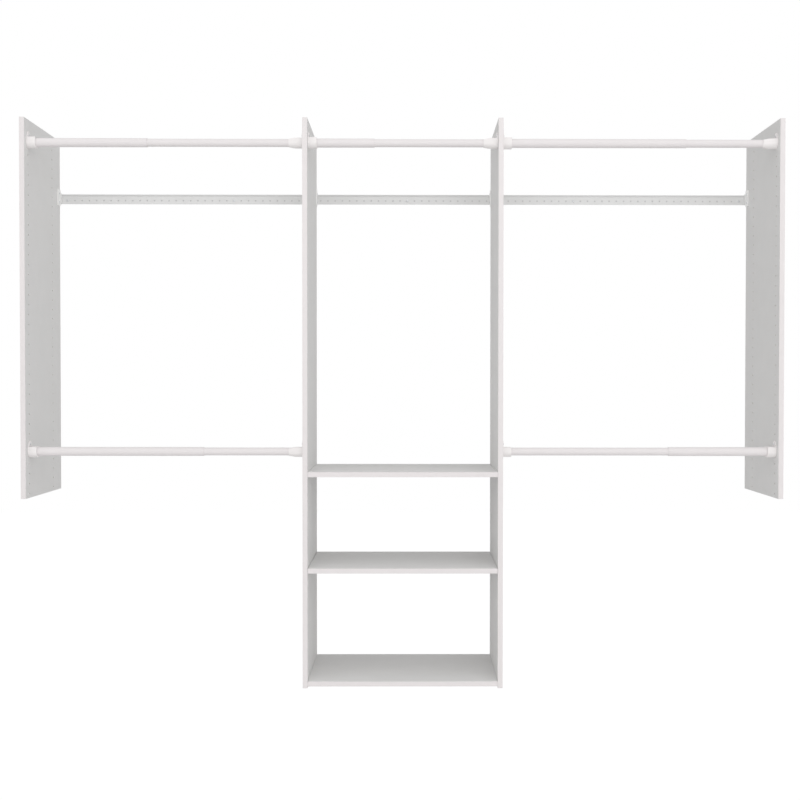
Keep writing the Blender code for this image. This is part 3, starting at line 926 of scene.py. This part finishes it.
@dataclass(frozen=True)
class Screw:
    """A pan head screw with a cross recess.

    Attributes:
        name: Name of its mesh.
        head_radius: Radius of the head.
        head_height: Height of the head.
        shank_radius: Radius of the shank.
        shank_length: Length of the shank.
        recess_width_share: Width of a recess's arm, as a share of the head's radius.
        recess_span_share: Length of the recess's arm, as a share of the head's radius.
        recess_depth_share: Depth of the recess, as a share of the head's height.
        tip_radius_share: Radius of the tip, as a share of the shank's.
        tip_start_share: Where the tip starts to narrow, as a share of the shank's length.
        sides: How many sides it is turned with.
    """

    # Angles from the head's rim to its crown
    CROWN_TURNS = (0.25, 0.55, 0.85, 1.15, 1.4)

    name: str
    head_radius: float
    head_height: float
    shank_radius: float
    shank_length: float
    recess_width_share: float = 0.26
    recess_span_share: float = 0.62
    recess_depth_share: float = 0.62
    tip_radius_share: float = 0.6
    tip_start_share: float = 0.85
    sides: int = 28

    def profile(self) -> list[Point]:
        """Heights and radii of the screw.

        Returns:
            The pairs, from the shank's tip to the head's crown.
        """
        height, radius = self.head_height, self.head_radius
        crown = [(height * math.sin(turn), radius * math.cos(turn)) for turn in self.CROWN_TURNS]
        return [
            (-self.shank_length, self.shank_radius * self.tip_radius_share),
            (-self.shank_length * self.tip_start_share, self.shank_radius),
            (0.0, self.shank_radius),
            (0.0, radius),
            *crown,
        ]

    def mesh(self, turn: Matrix) -> bpy.types.Mesh:
        """The screw with its head's underside at the origin.

        Args:
            turn: What turns it from +Z to its own direction.

        Returns:
            Its mesh.
        """
        shaper = Shaper()
        shaper.turn(self.profile(), self.sides, Matrix.Identity(4))
        half_width = self.head_radius * self.recess_width_share / 2
        half_span = self.head_radius * self.recess_span_share
        floor = self.head_height * (1 - self.recess_depth_share)
        over = self.head_height * 2
        arms = []
        for span, width in ((half_span, half_width), (half_width, half_span)):
            arm = Shaper()
            arm.block(Vector((-span, -width, floor)), Vector((span, width, over)))
            arms.append(arm.data(self.name + "_arm"))
        data = carved(shaper.data(self.name), arms)
        data.transform(turn)
        return data

    def drive(self, dresser: Dresser, node: str, turn: Matrix, places: dict[str, Vector]) -> None:
        """Adds screws to what they hold.

        Args:
            dresser: What puts them on the frame.
            node: The node that they hold.
            turn: What turns them from +Z to their own direction.
            places: For each screw's name, the place of its head's underside.
        """
        mesh = self.mesh(turn)
        for name, place in places.items():
            dresser.add(name, mesh, (ZINC_PLATE,), node, place, stands_for=False)


@dataclass
class Hanger:
    """A flat steel claw on a panel's inner face, hooked over the rail's lip.

    Attributes:
        panel: The panel that it is screwed to.
        rail: The rail that it hooks over.
        gap: Clearance to what it touches.
        top: Height of the plate's top.
        claw_top: Height of the claw's top.
        bottom: Height of the plate's bottom.
        rear_foot: Height of the underside of the foot that stands against the rail.
        notch_bottom: Height of the foot's top, where the notch between foot and lip starts.
        notch_depth: Distance from the wall to the notch's edge.
        wall_clearance: Distance from the wall to the claw.
        nose_length: Length of the claw's nose behind the lip.
        corner: Radius of its rounded corners.
        hole_radius: Radius of its screw holes.
        hole_sides: How many sides a screw hole is drawn with.
    """

    panel: HungPanel
    rail: WallRail
    gap: float = 0.0003
    top: float = 0.033
    claw_top: float = 0.0241
    bottom: float = -0.022
    rear_foot: float = -0.0112
    notch_bottom: float = -0.0065
    notch_depth: float = 0.0052
    wall_clearance: float = 0.001
    nose_length: float = 0.0040
    corner: float = 0.0015
    hole_radius: float = 0.0024
    hole_sides: int = 20

    @property
    def node(self) -> str:
        """Name of its node."""
        return self.panel.name.replace("_panel", "_hanger")

    def outline(self) -> list[Point]:
        """Its outline, which follows the rail's lip.

        Returns:
            The corners, as depth and height.
        """
        low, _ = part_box(self.node)
        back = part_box(self.panel.name)[1].y
        lip_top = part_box(self.rail.node)[1].z
        slope = Vector((-1, 1)).normalized()
        out = Vector((-1, -1)).normalized()
        lip_root = Vector((0, lip_top - self.rail.lip_run))
        lip_end = Vector((-self.rail.lip_run, lip_top))
        reach = self.rail.gauge + self.gap
        under_lip = lip_root + out * reach
        notch_top = under_lip + slope * ((-self.notch_depth - under_lip.x) / slope.x)
        slot_low = lip_end + slope * self.gap + out * reach
        slot_high = lip_end + slope * self.gap - out * self.gap
        nose = slot_high - slope * self.nose_length
        return [
            (low.y, self.bottom),
            (back, self.bottom),
            (back, self.rear_foot),
            (-reach, self.rear_foot),
            (-reach, self.notch_bottom),
            (-self.notch_depth, self.notch_bottom),
            (notch_top.x, notch_top.y),
            (slot_low.x, slot_low.y),
            (slot_high.x, slot_high.y),
            (nose.x, nose.y),
            (-self.wall_clearance, nose.y),
            (-self.wall_clearance, self.claw_top),
            (back, self.claw_top),
            (back, self.top),
            (low.y, self.top),
        ]

    def build(self, dresser: Dresser, screw: Screw) -> None:
        """Adds the hanger and its screws.

        Args:
            dresser: What puts them on the frame.
            screw: The screw that holds it.
        """
        low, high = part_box(self.node)
        inward = self.panel.side.opposite
        near, far = (low.x, high.x) if inward is Side.RIGHT else (high.x, low.x)
        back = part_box(self.panel.name)[1].y
        centres = [(back - self.panel.pilot_setback, z) for z in self.panel.pilot_heights]
        outline = rounded(self.outline(), self.corner)
        shaper = Shaper()
        near_ring = shaper.ring(outline, across(near))
        far_ring = shaper.ring(outline, across(far))
        holes = [circle(centre, self.hole_radius, self.hole_sides) for centre in centres]
        near_holes = [shaper.ring(hole, across(near)) for hole in holes]
        far_holes = [shaper.ring(hole, across(far)) for hole in holes]
        shaper.bridge(near_ring, far_ring)
        for near_hole, far_hole in zip(near_holes, far_holes):
            shaper.bridge(near_hole, far_hole)
        shaper.fill(near_ring, *near_holes)
        shaper.fill(far_ring, *far_holes)
        dresser.add(self.node + "_plate", shaper.data(self.node + "_plate"), (HANGER_COAT,), self.node)
        places = {}
        for number, centre in enumerate(centres, 1):
            places[f"{self.node}_screw_{number}"] = Vector((far, *centre))
        screw.drive(dresser, self.node, along_x(inward), places)


@dataclass
class Rod:
    """A hanging rod of two tubes, in two cups.

    Attributes:
        name: Name of the rod, which its nodes' names start with.
        wall: Thickness of a tube's wall.
        edge: Width of the rolled edge at a tube's end.
        sides: How many sides a tube is turned with.
    """

    name: str
    wall: float = 0.0012
    edge: float = 0.0004
    sides: int = 56

    def tube(self, node: str, dresser: Dresser) -> None:
        """Adds one tube.

        Args:
            node: Name of its node.
            dresser: What puts it on the frame.
        """
        low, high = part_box(node)
        radius = (high.z - low.z) / 2
        length = high.x - low.x
        bore = radius - self.wall
        profile = (
            (0.0, bore + self.edge),
            (0.0, radius - self.edge),
            (self.edge, radius),
            (length - self.edge, radius),
            (length, radius - self.edge),
            (length, bore + self.edge),
            (length - self.edge, bore),
            (self.edge, bore),
        )
        shaper = Shaper()
        shaper.turn(profile, self.sides, along_x(Side.RIGHT), tube=True)
        name = node + "_finished"
        dresser.add(name, shaper.data(name), (TUBE_PAINT,), node, Vector((low.x, *middle_of(node))))

    def build(self, dresser: Dresser) -> None:
        """Adds both tubes, the thick one first."""
        self.tube(self.name + "_outer_tube", dresser)
        self.tube(self.name + "_inner_tube", dresser)


@dataclass
class Cup:
    """A moulded rod cup, open at its top, with a screwed flange and a peg.

    Attributes:
        rod: Name of the rod that it holds.
        side: The end of the rod that it holds.
        square_length: Length of a cup whose mouth isn't tapered.
        taper_start: Distance from the panel to where a tapered mouth starts.
        wall: Thickness of the trough's wall.
        tip_wall: Thickness of the wall at the end of a tapered mouth.
        tip_rim_drop: How far the rim there lies under the top of the tube.
        flange: Thickness of the flange.
        gap: Clearance round the tube.
        rim_above_tube: Height of the rim over the top of the tube.
        screw_rise: Height of the screw over the rod's axis.
        tab_half_width: Half the width of the tab round the screw.
        hole_radius: Radius of the screw's hole.
        peg_drop: Distance from the screw down to the peg.
        peg_radius: Radius of the peg.
        peg_length: Length of the peg.
        soft_edge: Width of its softened edges.
        soft_steps: How many flats a softened edge has.
        soft_angle: Least angle of an edge that is softened.
        arc_steps: How many edges half a circle has.
        sides: How many sides a round hole or peg has.
    """

    rod: str
    side: Side
    square_length: float = 0.028
    taper_start: float = 0.0245
    wall: float = 0.0045
    tip_wall: float = 0.001
    tip_rim_drop: float = 0.002
    flange: float = 0.003
    gap: float = 0.0003
    rim_above_tube: float = 0.001
    screw_rise: float = 0.024
    tab_half_width: float = 0.011
    hole_radius: float = 0.0024
    peg_drop: float = 0.032
    peg_radius: float = 0.0019
    peg_length: float = 0.0073
    soft_edge: float = 0.0005
    soft_steps: int = 2
    soft_angle: float = math.radians(50)
    arc_steps: int = 24
    sides: int = 20

    @property
    def node(self) -> str:
        """Name of its node."""
        return f"{self.rod}_{self.side.name.lower()}_cup"

    def tube_radius(self) -> float:
        """Radius of the tube that it holds.

        Returns:
            The radius of the tube whose end is nearest.
        """
        boxes = [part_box(f"{self.rod}_{tube}_tube") for tube in ("outer", "inner")]
        ends = [box[0].x if self.side is Side.LEFT else -box[1].x for box in boxes]
        low, high = boxes[ends.index(min(ends))]
        return (high.z - low.z) / 2

    def path(self, radius: float, rim: float) -> list[Point]:
        """A path round the trough, from rim to rim, as depth and height from the rod's axis.

        Args:
            radius: Radius of the trough's round bottom.
            rim: Height of its rim.

        Returns:
            The points.
        """
        turns = [math.pi * (1 + step / self.arc_steps) for step in range(self.arc_steps + 1)]
        arc = [(radius * math.cos(turn), radius * math.sin(turn)) for turn in turns]
        return [(-radius, rim), *arc, (radius, rim)]

    def sections(self) -> list[Section]:
        """Where the trough ends, and for a tapered mouth also where the taper does.

        Returns:
            The distance from the panel, the outer path and the inner path of each.
        """
        low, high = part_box(self.node)
        reach = high.x - low.x - self.peg_length
        tube = self.tube_radius()
        inner = tube + self.gap
        rim = tube + self.rim_above_tube
        trough = (self.path(inner + self.wall, rim), self.path(inner, rim))
        if reach < self.square_length + self.gap:
            return [(reach, *trough)]
        rim = tube - self.tip_rim_drop
        tip = (self.path(inner + self.tip_wall, rim), self.path(inner, rim))
        return [(self.taper_start, *trough), (reach, *tip)]

    def tab(self) -> list[Point]:
        """The rounded top of the flange.

        Returns:
            The points, from one side over to the other.
        """
        steps = self.arc_steps // 2
        turns = [math.pi * step / steps for step in range(steps + 1)]
        radius = self.tab_half_width
        return [(radius * math.cos(turn), self.screw_rise + radius * math.sin(turn)) for turn in turns]

    def trough(self, shaper: Shaper, sections: list[Section], outer_edge: Ring, inner_edge: Ring) -> None:
        """The trough's wall, from the flange to its open end.

        Args:
            shaper: The cup's mesh.
            sections: Where the trough and its taper end.
            outer_edge: Where its outer face meets the flange.
            inner_edge: Where its inner face meets the flange.
        """
        inward = self.side.opposite.value
        for distance, outer, inner in sections:
            next_outer = shaper.ring(outer, across(inward * distance))
            next_inner = shaper.ring(inner, across(inward * distance))
            shaper.bridge(outer_edge, next_outer, closed=False)
            shaper.bridge(inner_edge, next_inner, closed=False)
            for rim in (0, -1):
                shaper.mesh.faces.new((outer_edge[rim], inner_edge[rim], next_inner[rim], next_outer[rim]))
            outer_edge, inner_edge = next_outer, next_inner
        shaper.bridge(outer_edge, inner_edge, closed=False)

    def mesh(self) -> bpy.types.Mesh:
        """The cup with its flange's back at x = 0.

        Returns:
            Its mesh.
        """
        inward = self.side.opposite.value
        sections = self.sections()
        _, outer_path, inner_path = sections[0]
        outline = outer_path + self.tab()
        screw_hole = circle((0, self.screw_rise), self.hole_radius, self.sides)
        peg = circle((0, self.screw_rise - self.peg_drop), self.peg_radius, self.sides)
        shaper = Shaper()
        back = shaper.ring(outline, across(0))
        front = shaper.ring(outline, across(inward * self.flange))
        seat = shaper.ring(inner_path, across(inward * self.flange))
        back_hole = shaper.ring(screw_hole, across(0))
        front_hole = shaper.ring(screw_hole, across(inward * self.flange))
        peg_root = shaper.ring(peg, across(0))
        peg_end = shaper.ring(peg, across(-inward * self.peg_length))
        cup_edge = front[:len(outer_path)]
        shaper.bridge(back, front)
        self.trough(shaper, sections, cup_edge, seat)
        shaper.bridge(back_hole, front_hole)
        shaper.bridge(peg_root, peg_end)
        shaper.fill(peg_end)
        shaper.fill(back, back_hole, peg_root)
        shaper.fill([cup_edge[0], *seat, *front[len(outer_path) - 1:]], front_hole)
        return shaper.data(self.node + "_moulding")

    def build(self, dresser: Dresser, screw: Screw) -> None:
        """Adds the cup and its screw.

        Args:
            dresser: What puts them on the frame.
            screw: The screw that holds it.
        """
        low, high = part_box(self.node)
        depth, height = middle_of(self.rod + "_outer_tube")
        back = low.x + self.peg_length if self.side is Side.LEFT else high.x - self.peg_length
        inward = self.side.opposite
        middle = Vector((back, depth, height))
        cup = dresser.add(self.node + "_moulding", self.mesh(), (MOULDED_PLASTIC,), self.node, middle)
        soften = cup.modifiers.new("soft_edges", "BEVEL")
        soften.width = self.soft_edge
        soften.segments = self.soft_steps
        soften.limit_method = "ANGLE"
        soften.angle_limit = self.soft_angle
        soften.use_clamp_overlap = True
        place = Vector((back + inward.value * self.flange, depth, height + self.screw_rise))
        screw.drive(dresser, self.node, along_x(inward), {self.node + "_screw": place})


@dataclass
class Shelf:
    """A shelf of melamine faced board, with a band on its front edge.

    Attributes:
        name: Name of its node.
        cams: Names of the cams in it, which are bored from below.
        edge: Width of its softened edges.
        cam_bore_radius: Radius of a cam's bore.
        cam_bore_skin: Thickness of the board that is left over a cam's bore.
        bolt_bore_radius: Radius of a bolt's bore.
        overrun: How far a cutter runs out of the board.
        sides: How many sides a bore is drawn with.
    """

    name: str
    cams: tuple[str, ...] = ()
    edge: float = 0.0004
    cam_bore_radius: float = 0.0075
    cam_bore_skin: float = 0.0029
    bolt_bore_radius: float = 0.004
    overrun: float = 0.002
    sides: int = 36

    def board(self) -> bpy.types.Mesh:
        """The board with its softened edges.

        Returns:
            Its mesh.
        """
        low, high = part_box(self.name)
        shaper = Shaper()
        for ring in softened(shaper, low, high, (low.x, high.x), self.edge):
            shaper.fill(ring)
        return shaper.data(self.name + "_board")

    def bored(self, data: bpy.types.Mesh) -> bpy.types.Mesh:
        """The board with the bores of its cams and bolts, whose walls show its core.

        Args:
            data: The plain board.

        Returns:
            The bored board.
        """
        low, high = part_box(self.name)
        middle = (low.z + high.z) / 2
        bores = Shaper()
        channels = Shaper()
        for cam in self.cams:
            cam_low, cam_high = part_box(cam)
            x = (cam_low.x + cam_high.x) / 2
            y = (cam_low.y + cam_high.y) / 2
            side = Side.LEFT if x < 0 else Side.RIGHT
            reach = abs((low.x if side is Side.LEFT else high.x) - x) + self.overrun
            ends = (low.z - self.overrun, high.z - self.cam_bore_skin)
            bores.turn([(z, self.cam_bore_radius) for z in ends], self.sides, Matrix.Translation((x, y, 0)))
            channel = ((0.0, self.bolt_bore_radius), (reach, self.bolt_bore_radius))
            channels.turn(channel, self.sides, Matrix.Translation((x, y, middle)) @ along_x(side))
        result = carved(data, (bores.data("cam_bores"), channels.data("bolt_bores")))
        depth = Vector((self.edge, self.edge, self.edge)) * 2
        inner_low = low + depth
        inner_high = high - depth
        for face in result.polygons:
            spans = zip(inner_low, face.center, inner_high)
            inside = all(least < place < most for least, place, most in spans)
            face.material_index = Layer.CORE if inside else Layer.SKIN
        return result

    def build(self, dresser: Dresser) -> None:
        """Adds the shelf and paints its band and cams.

        Args:
            dresser: What puts them on the frame.
        """
        board = self.board()
        if self.cams:
            board = self.bored(board)
        dresser.add(self.name + "_board", board, (MELAMINE, PARTICLE_CORE), self.name)
        dresser.paint(self.name + "_edge_band", EDGE_BAND_ACROSS)
        for cam in self.cams:
            dresser.paint(cam, ZINC_PLATE)
            dresser.paint(cam.replace("_cam_", "_bolt_"), ZINC_PLATE)


@dataclass
class ShelfPin:
    """A steel pin under the loose shelf.

    Attributes:
        node: Name of its node.
        side: The panel that it is pushed into.
        stem_radius: Radius of the stem in the panel.
        stem_length: Length of that stem.
        tip_radius_share: Radius of the stem's tip, as a share of the stem's.
        gap: Clearance between the panel and the pin's shoulder.
        edge: Width of its softened edge.
        sides: How many sides it is turned with.
    """

    node: str
    side: Side
    stem_radius: float = 0.0019
    stem_length: float = 0.007
    tip_radius_share: float = 0.5
    gap: float = 0.0003
    edge: float = 0.0004
    sides: int = 28

    def build(self, dresser: Dresser) -> None:
        """Adds the pin.

        Args:
            dresser: What puts it on the frame.
        """
        low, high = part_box(self.node)
        radius = (high.z - low.z) / 2
        length = high.x - low.x - self.stem_length
        profile = (
            (-self.stem_length, self.stem_radius * self.tip_radius_share),
            (-self.stem_length + self.stem_radius * self.tip_radius_share, self.stem_radius),
            (self.gap, self.stem_radius),
            (self.gap, radius),
            (length - self.edge, radius),
            (length, radius - self.edge),
        )
        shaper = Shaper()
        shaper.turn(profile, self.sides, along_x(self.side.opposite))
        face = low.x + self.stem_length if self.side is Side.LEFT else high.x - self.stem_length
        name = self.node + "_turned"
        dresser.add(name, shaper.data(name), (ZINC_PLATE,), self.node, Vector((face, *middle_of(self.node))))


@dataclass
class Closet:
    """The whole closet system, with the sizes that its sub-assemblies share.

    Attributes:
        rail: The wall rail, which the hangers hook over.
        wall_screw_steps: Places of the wall screws, in hole pitches from the rail's middle.
        wall_screw: The screw that holds the rail.
        board_screw: The screw that holds a hanger.
        cup_screw: The screw that holds a rod cup.
    """

    rail: WallRail = field(default_factory=WallRail)
    wall_screw_steps: tuple[float, ...] = (-46.5, -23.5, 0.5, 23.5, 46.5)
    wall_screw: Screw = Screw(
        name="wall_screw", head_radius=0.0046, head_height=0.0024, shank_radius=0.0026, shank_length=0.0015
    )
    board_screw: Screw = Screw(
        name="board_screw", head_radius=0.0038, head_height=0.0022, shank_radius=0.0018, shank_length=0.0090
    )
    cup_screw: Screw = Screw(
        name="cup_screw", head_radius=0.0040, head_height=0.0022, shank_radius=0.0019, shank_length=0.0110
    )

    def build_panels(self, dresser: Dresser) -> None:
        """Adds the panels and their hangers.

        Args:
            dresser: What puts them on the frame.
        """
        for name, through in (("side", False), ("tower", True)):
            for side in Side:
                panel = HungPanel(f"{side.name.lower()}_{name}_panel", side, through)
                panel.build(dresser)
                Hanger(panel, self.rail).build(dresser, self.board_screw)

    def build_rail(self, dresser: Dresser) -> None:
        """Adds the rail and its wall screws.

        Args:
            dresser: What puts them on the frame.
        """
        self.rail.build(dresser)
        places = {}
        for number, step in enumerate(self.wall_screw_steps, 1):
            places[f"wall_screw_{number}"] = Vector((step * self.rail.hole_pitch, self.rail.face, 0))
        self.wall_screw.drive(dresser, self.rail.node, towards_room(), places)

    def build_rods(self, dresser: Dresser) -> None:
        """Adds the rods and their cups.

        Args:
            dresser: What puts them on the frame.
        """
        ending = "_outer_tube"
        for node in sorted(dresser.nodes):
            if node.endswith(ending):
                name = node.removesuffix(ending)
                Rod(name).build(dresser)
                for side in Side:
                    Cup(name, side).build(dresser, self.cup_screw)

    def build_shelves(self, dresser: Dresser) -> None:
        """Adds the shelves and what holds them.

        Args:
            dresser: What puts them on the frame.
        """
        for name in ("top_shelf", "middle_shelf", "bottom_shelf"):
            cams = tuple(sorted(node for node in dresser.nodes if node.startswith(name + "_cam_")))
            Shelf(name, cams).build(dresser)
        for side in Side:
            for column in ("front", "rear"):
                ShelfPin(f"shelf_pin_{side.name.lower()}_{column}", side).build(dresser)

    def build(self, dresser: Dresser) -> None:
        """Adds every sub-assembly.

        Args:
            dresser: What puts them on the frame.
        """
        self.build_rail(dresser)
        self.build_panels(dresser)
        self.build_shelves(dresser)
        self.build_rods(dresser)


@dataclass
class Studio:
    """Pale floor, soft light and the photograph's camera.

    Attributes:
        rail: The wall rail, which has a strip of wall behind it.
        floor_drop: Depth of the floor below the rail.
        floor_size: Width of the floor.
        floor_grey: Grey of the floor.
        floor_glow: Level of the floor's own white, which only the camera sees.
        floor_glow_share: Share of that white in the floor's surface. The rest shows the shadow.
        strip_shade_grey: Grey of the wall that shows through the rail's holes, darker than a white wall:
            painted shade of the gap behind the rail.
        strip_behind: How far that strip of wall lies behind the rail's back.
        strip_inset: How far it is drawn in from the rail's edges.
        matt_roughness: Roughness of the floor and the wall.
        ambient: Level of the light from all round.
        ambient_slope: How much that level rises per unit to the right, into the wall and up.
        background: Level of the white that only the camera sees.
        lamp_place: Where the softbox stands.
        lamp_aim: The point that it faces.
        lamp_size: Width and height of its face.
        lamp_power: Its power, in watts.
        image_width: Width of the photograph, in pixels.
        focal_pixels: Focal length, in pixels.
        principal_x: Column of the photograph that the camera faces.
        sensor_width: Width of the camera's sensor, in millimetres.
        far_clip: How far the camera sees.
        camera_place: Where the camera stands.
        pitch: How far the camera looks up.
        yaw: How far it is turned to the left.
        roll: How far it leans.
    """

    rail: WallRail
    floor_drop: float = 1.93
    floor_size: float = 14.0
    floor_grey: float = 0.9
    floor_glow: float = 1.07
    floor_glow_share: float = 0.88
    strip_shade_grey: float = 0.62
    strip_behind: float = 0.0004
    strip_inset: float = 0.001
    matt_roughness: float = 0.9
    ambient: float = 0.705
    ambient_slope: tuple[float, float, float] = (0.055, -0.51, 0.033)
    background: float = 1.0
    lamp_place: tuple[float, float, float] = (0.6, -5.6, 1.0)
    lamp_aim: tuple[float, float, float] = (0.0, -0.2, -0.6)
    lamp_size: float = 4.0
    lamp_power: float = 31.0
    image_width: int = 800
    focal_pixels: float = 1096.4
    principal_x: float = 416.93
    sensor_width: float = 36.0
    far_clip: float = 50.0
    camera_place: tuple[float, float, float] = (0.0258, -3.8726, -0.6380)
    pitch: float = -0.01616
    yaw: float = -0.005514
    roll: float = -0.000636

    def seen_directly(self, tree: Tree) -> Socket:
        """A value that is 1 for what the camera sees, directly, mirrored or through something.

        Args:
            tree: The nodes to add it to.

        Returns:
            The value.
        """
        path = added(tree, "ShaderNodeLightPath")
        value = path.outputs["Is Camera Ray"]
        for ray in ("Is Glossy Ray", "Is Transmission Ray"):
            either = added(tree, "ShaderNodeMath", {0: value, 1: path.outputs[ray]})
            either.operation = "MAXIMUM"
            value = either.outputs["Value"]
        return value

    def matt(self, name: str, grey: float) -> tuple[bpy.types.Material, Socket]:
        """A matt grey material.

        Args:
            name: Its name.
            grey: Its grey.

        Returns:
            The material and its surface, which isn't linked.
        """
        material = bpy.data.materials.new(name)
        material.use_nodes = True
        shader = material.node_tree.nodes["Principled BSDF"]
        feed(shader, {"Base Color": (grey, grey, grey, 1), "Roughness": self.matt_roughness})
        return material, shader.outputs["BSDF"]

    def sheet(self, name: str, corners: list[Point], place: Place, facing: Vector) -> bpy.types.Object:
        """A flat sheet that isn't part of the closet.

        Args:
            name: Its name.
            corners: Its flat corners.
            place: What carries them to their place.
            facing: The way that its front looks.

        Returns:
            The sheet.
        """
        shaper = Shaper()
        shaper.fill(shaper.ring(corners, place))
        data = shaper.data(name)
        if data.polygons[0].normal.dot(facing) < 0:
            data.flip_normals()
        return linked(name, data)

    def stage_front(self, sheet: bpy.types.Object, material: bpy.types.Material, front: Socket) -> None:
        """Gives a sheet a surface that is clear when it is looked at from behind.

        Args:
            sheet: The sheet.
            material: Its material.
            front: The surface of its front.
        """
        tree = material.node_tree
        behind = added(tree, "ShaderNodeNewGeometry").outputs["Backfacing"]
        clear = added(tree, "ShaderNodeBsdfTransparent").outputs["BSDF"]
        mix = added(tree, "ShaderNodeMixShader", {"Fac": behind, 1: front, 2: clear})
        feed(tree.nodes["Material Output"], {"Surface": mix.outputs["Shader"]})
        sheet.data.materials.append(material)

    def build_world(self) -> None:
        """Light from all round, and a white background."""
        world = bpy.data.worlds.new("studio")
        bpy.context.scene.world = world
        world.use_nodes = True
        tree = world.node_tree
        tree.nodes.clear()
        way = added(tree, "ShaderNodeTexCoord").outputs["Generated"]
        tilt = added(tree, "ShaderNodeVectorMath", {0: way, 1: self.ambient_slope})
        tilt.operation = "DOT_PRODUCT"
        level = added(tree, "ShaderNodeMath", {0: tilt.outputs["Value"], 1: self.ambient})
        inputs = {"Fac": self.seen_directly(tree)}
        for slot, strength in enumerate((level.outputs["Value"], self.background), 1):
            light = added(tree, "ShaderNodeBackground", {"Color": (1, 1, 1, 1), "Strength": strength})
            inputs[slot] = light.outputs["Background"]
        mix = added(tree, "ShaderNodeMixShader", inputs)
        added(tree, "ShaderNodeOutputWorld", {"Surface": mix.outputs["Shader"]})

    def build_floor(self) -> None:
        """A pale floor that keeps a faint shadow."""
        half = self.floor_size / 2
        corners = rectangle((-half, -half), (half, half))
        floor = self.sheet("floor", corners, horizontal(-self.floor_drop), Vector((0, 0, 1)))
        material, surface = self.matt("pale_floor", self.floor_grey)
        tree = material.node_tree
        share = added(tree, "ShaderNodeMath", {0: self.seen_directly(tree), 1: self.floor_glow_share})
        share.operation = "MULTIPLY"
        glow = added(tree, "ShaderNodeEmission", {"Strength": self.floor_glow})
        inputs = {"Fac": share.outputs["Value"], 1: surface, 2: glow.outputs["Emission"]}
        mix = added(tree, "ShaderNodeMixShader", inputs)
        self.stage_front(floor, material, mix.outputs["Shader"])

    def build_wall_strip(self) -> None:
        """The strip of wall below the rail's lip that shows through the holes, which only the camera sees.
        Its grey is painted shade, added to the real shadow that the rail casts on it.
        """
        low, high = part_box(self.rail.node)
        corners = rectangle((low.x, low.z), (high.x, high.z - self.rail.lip_run), self.strip_inset)
        strip = self.sheet("wall_strip", corners, upright(self.strip_behind), Vector((0, -1, 0)))
        strip.visible_shadow = False
        strip.visible_diffuse = False
        strip.visible_glossy = False
        # The strip's grey is painted shade of the gap behind the rail.
        self.stage_front(strip, *self.matt("pale_wall", self.strip_shade_grey))

    def build_lamp(self) -> None:
        """A broad soft light from the front, a little from the right."""
        lamp = bpy.data.lights.new("front_softbox", "AREA")
        lamp.shape = "SQUARE"
        lamp.size = self.lamp_size
        lamp.energy = self.lamp_power
        box = linked("front_softbox", lamp)
        box.location = self.lamp_place
        beam = Vector(self.lamp_aim) - Vector(self.lamp_place)
        box.rotation_euler = beam.to_track_quat("-Z", "Y").to_euler()

    def build_camera(self) -> None:
        """The camera at the photograph's place."""
        turns = ((self.yaw, "Z"), (self.pitch, "X"), (self.roll, "Y"))
        yaw, pitch, roll = (Matrix.Rotation(angle, 3, axis) for angle, axis in turns)
        right, forward, up = (yaw @ pitch @ roll).col
        lens = bpy.data.cameras.new("camera")
        lens.sensor_width = self.sensor_width
        lens.lens = self.focal_pixels / self.image_width * self.sensor_width
        lens.shift_x = 0.5 - self.principal_x / self.image_width
        lens.clip_end = self.far_clip
        camera = linked("camera", lens)
        basis = Matrix((right, up, -forward)).transposed().to_4x4()
        camera.matrix_world = Matrix.Translation(self.camera_place) @ basis
        bpy.context.scene.camera = camera

    def build(self) -> None:
        """Sets the whole stage."""
        bpy.context.scene.view_settings.view_transform = "Standard"
        self.build_world()
        self.build_floor()
        self.build_wall_strip()
        self.build_lamp()
        self.build_camera()


def main() -> None:
    """Loads the frame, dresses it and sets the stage."""
    logging.basicConfig(level=logging.INFO, format="%(name)s %(message)s")
    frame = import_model()
    dresser = Dresser(frame)
    closet = Closet()
    closet.build(dresser)
    Studio(closet.rail).build()


if __name__ == "__main__":
    main()
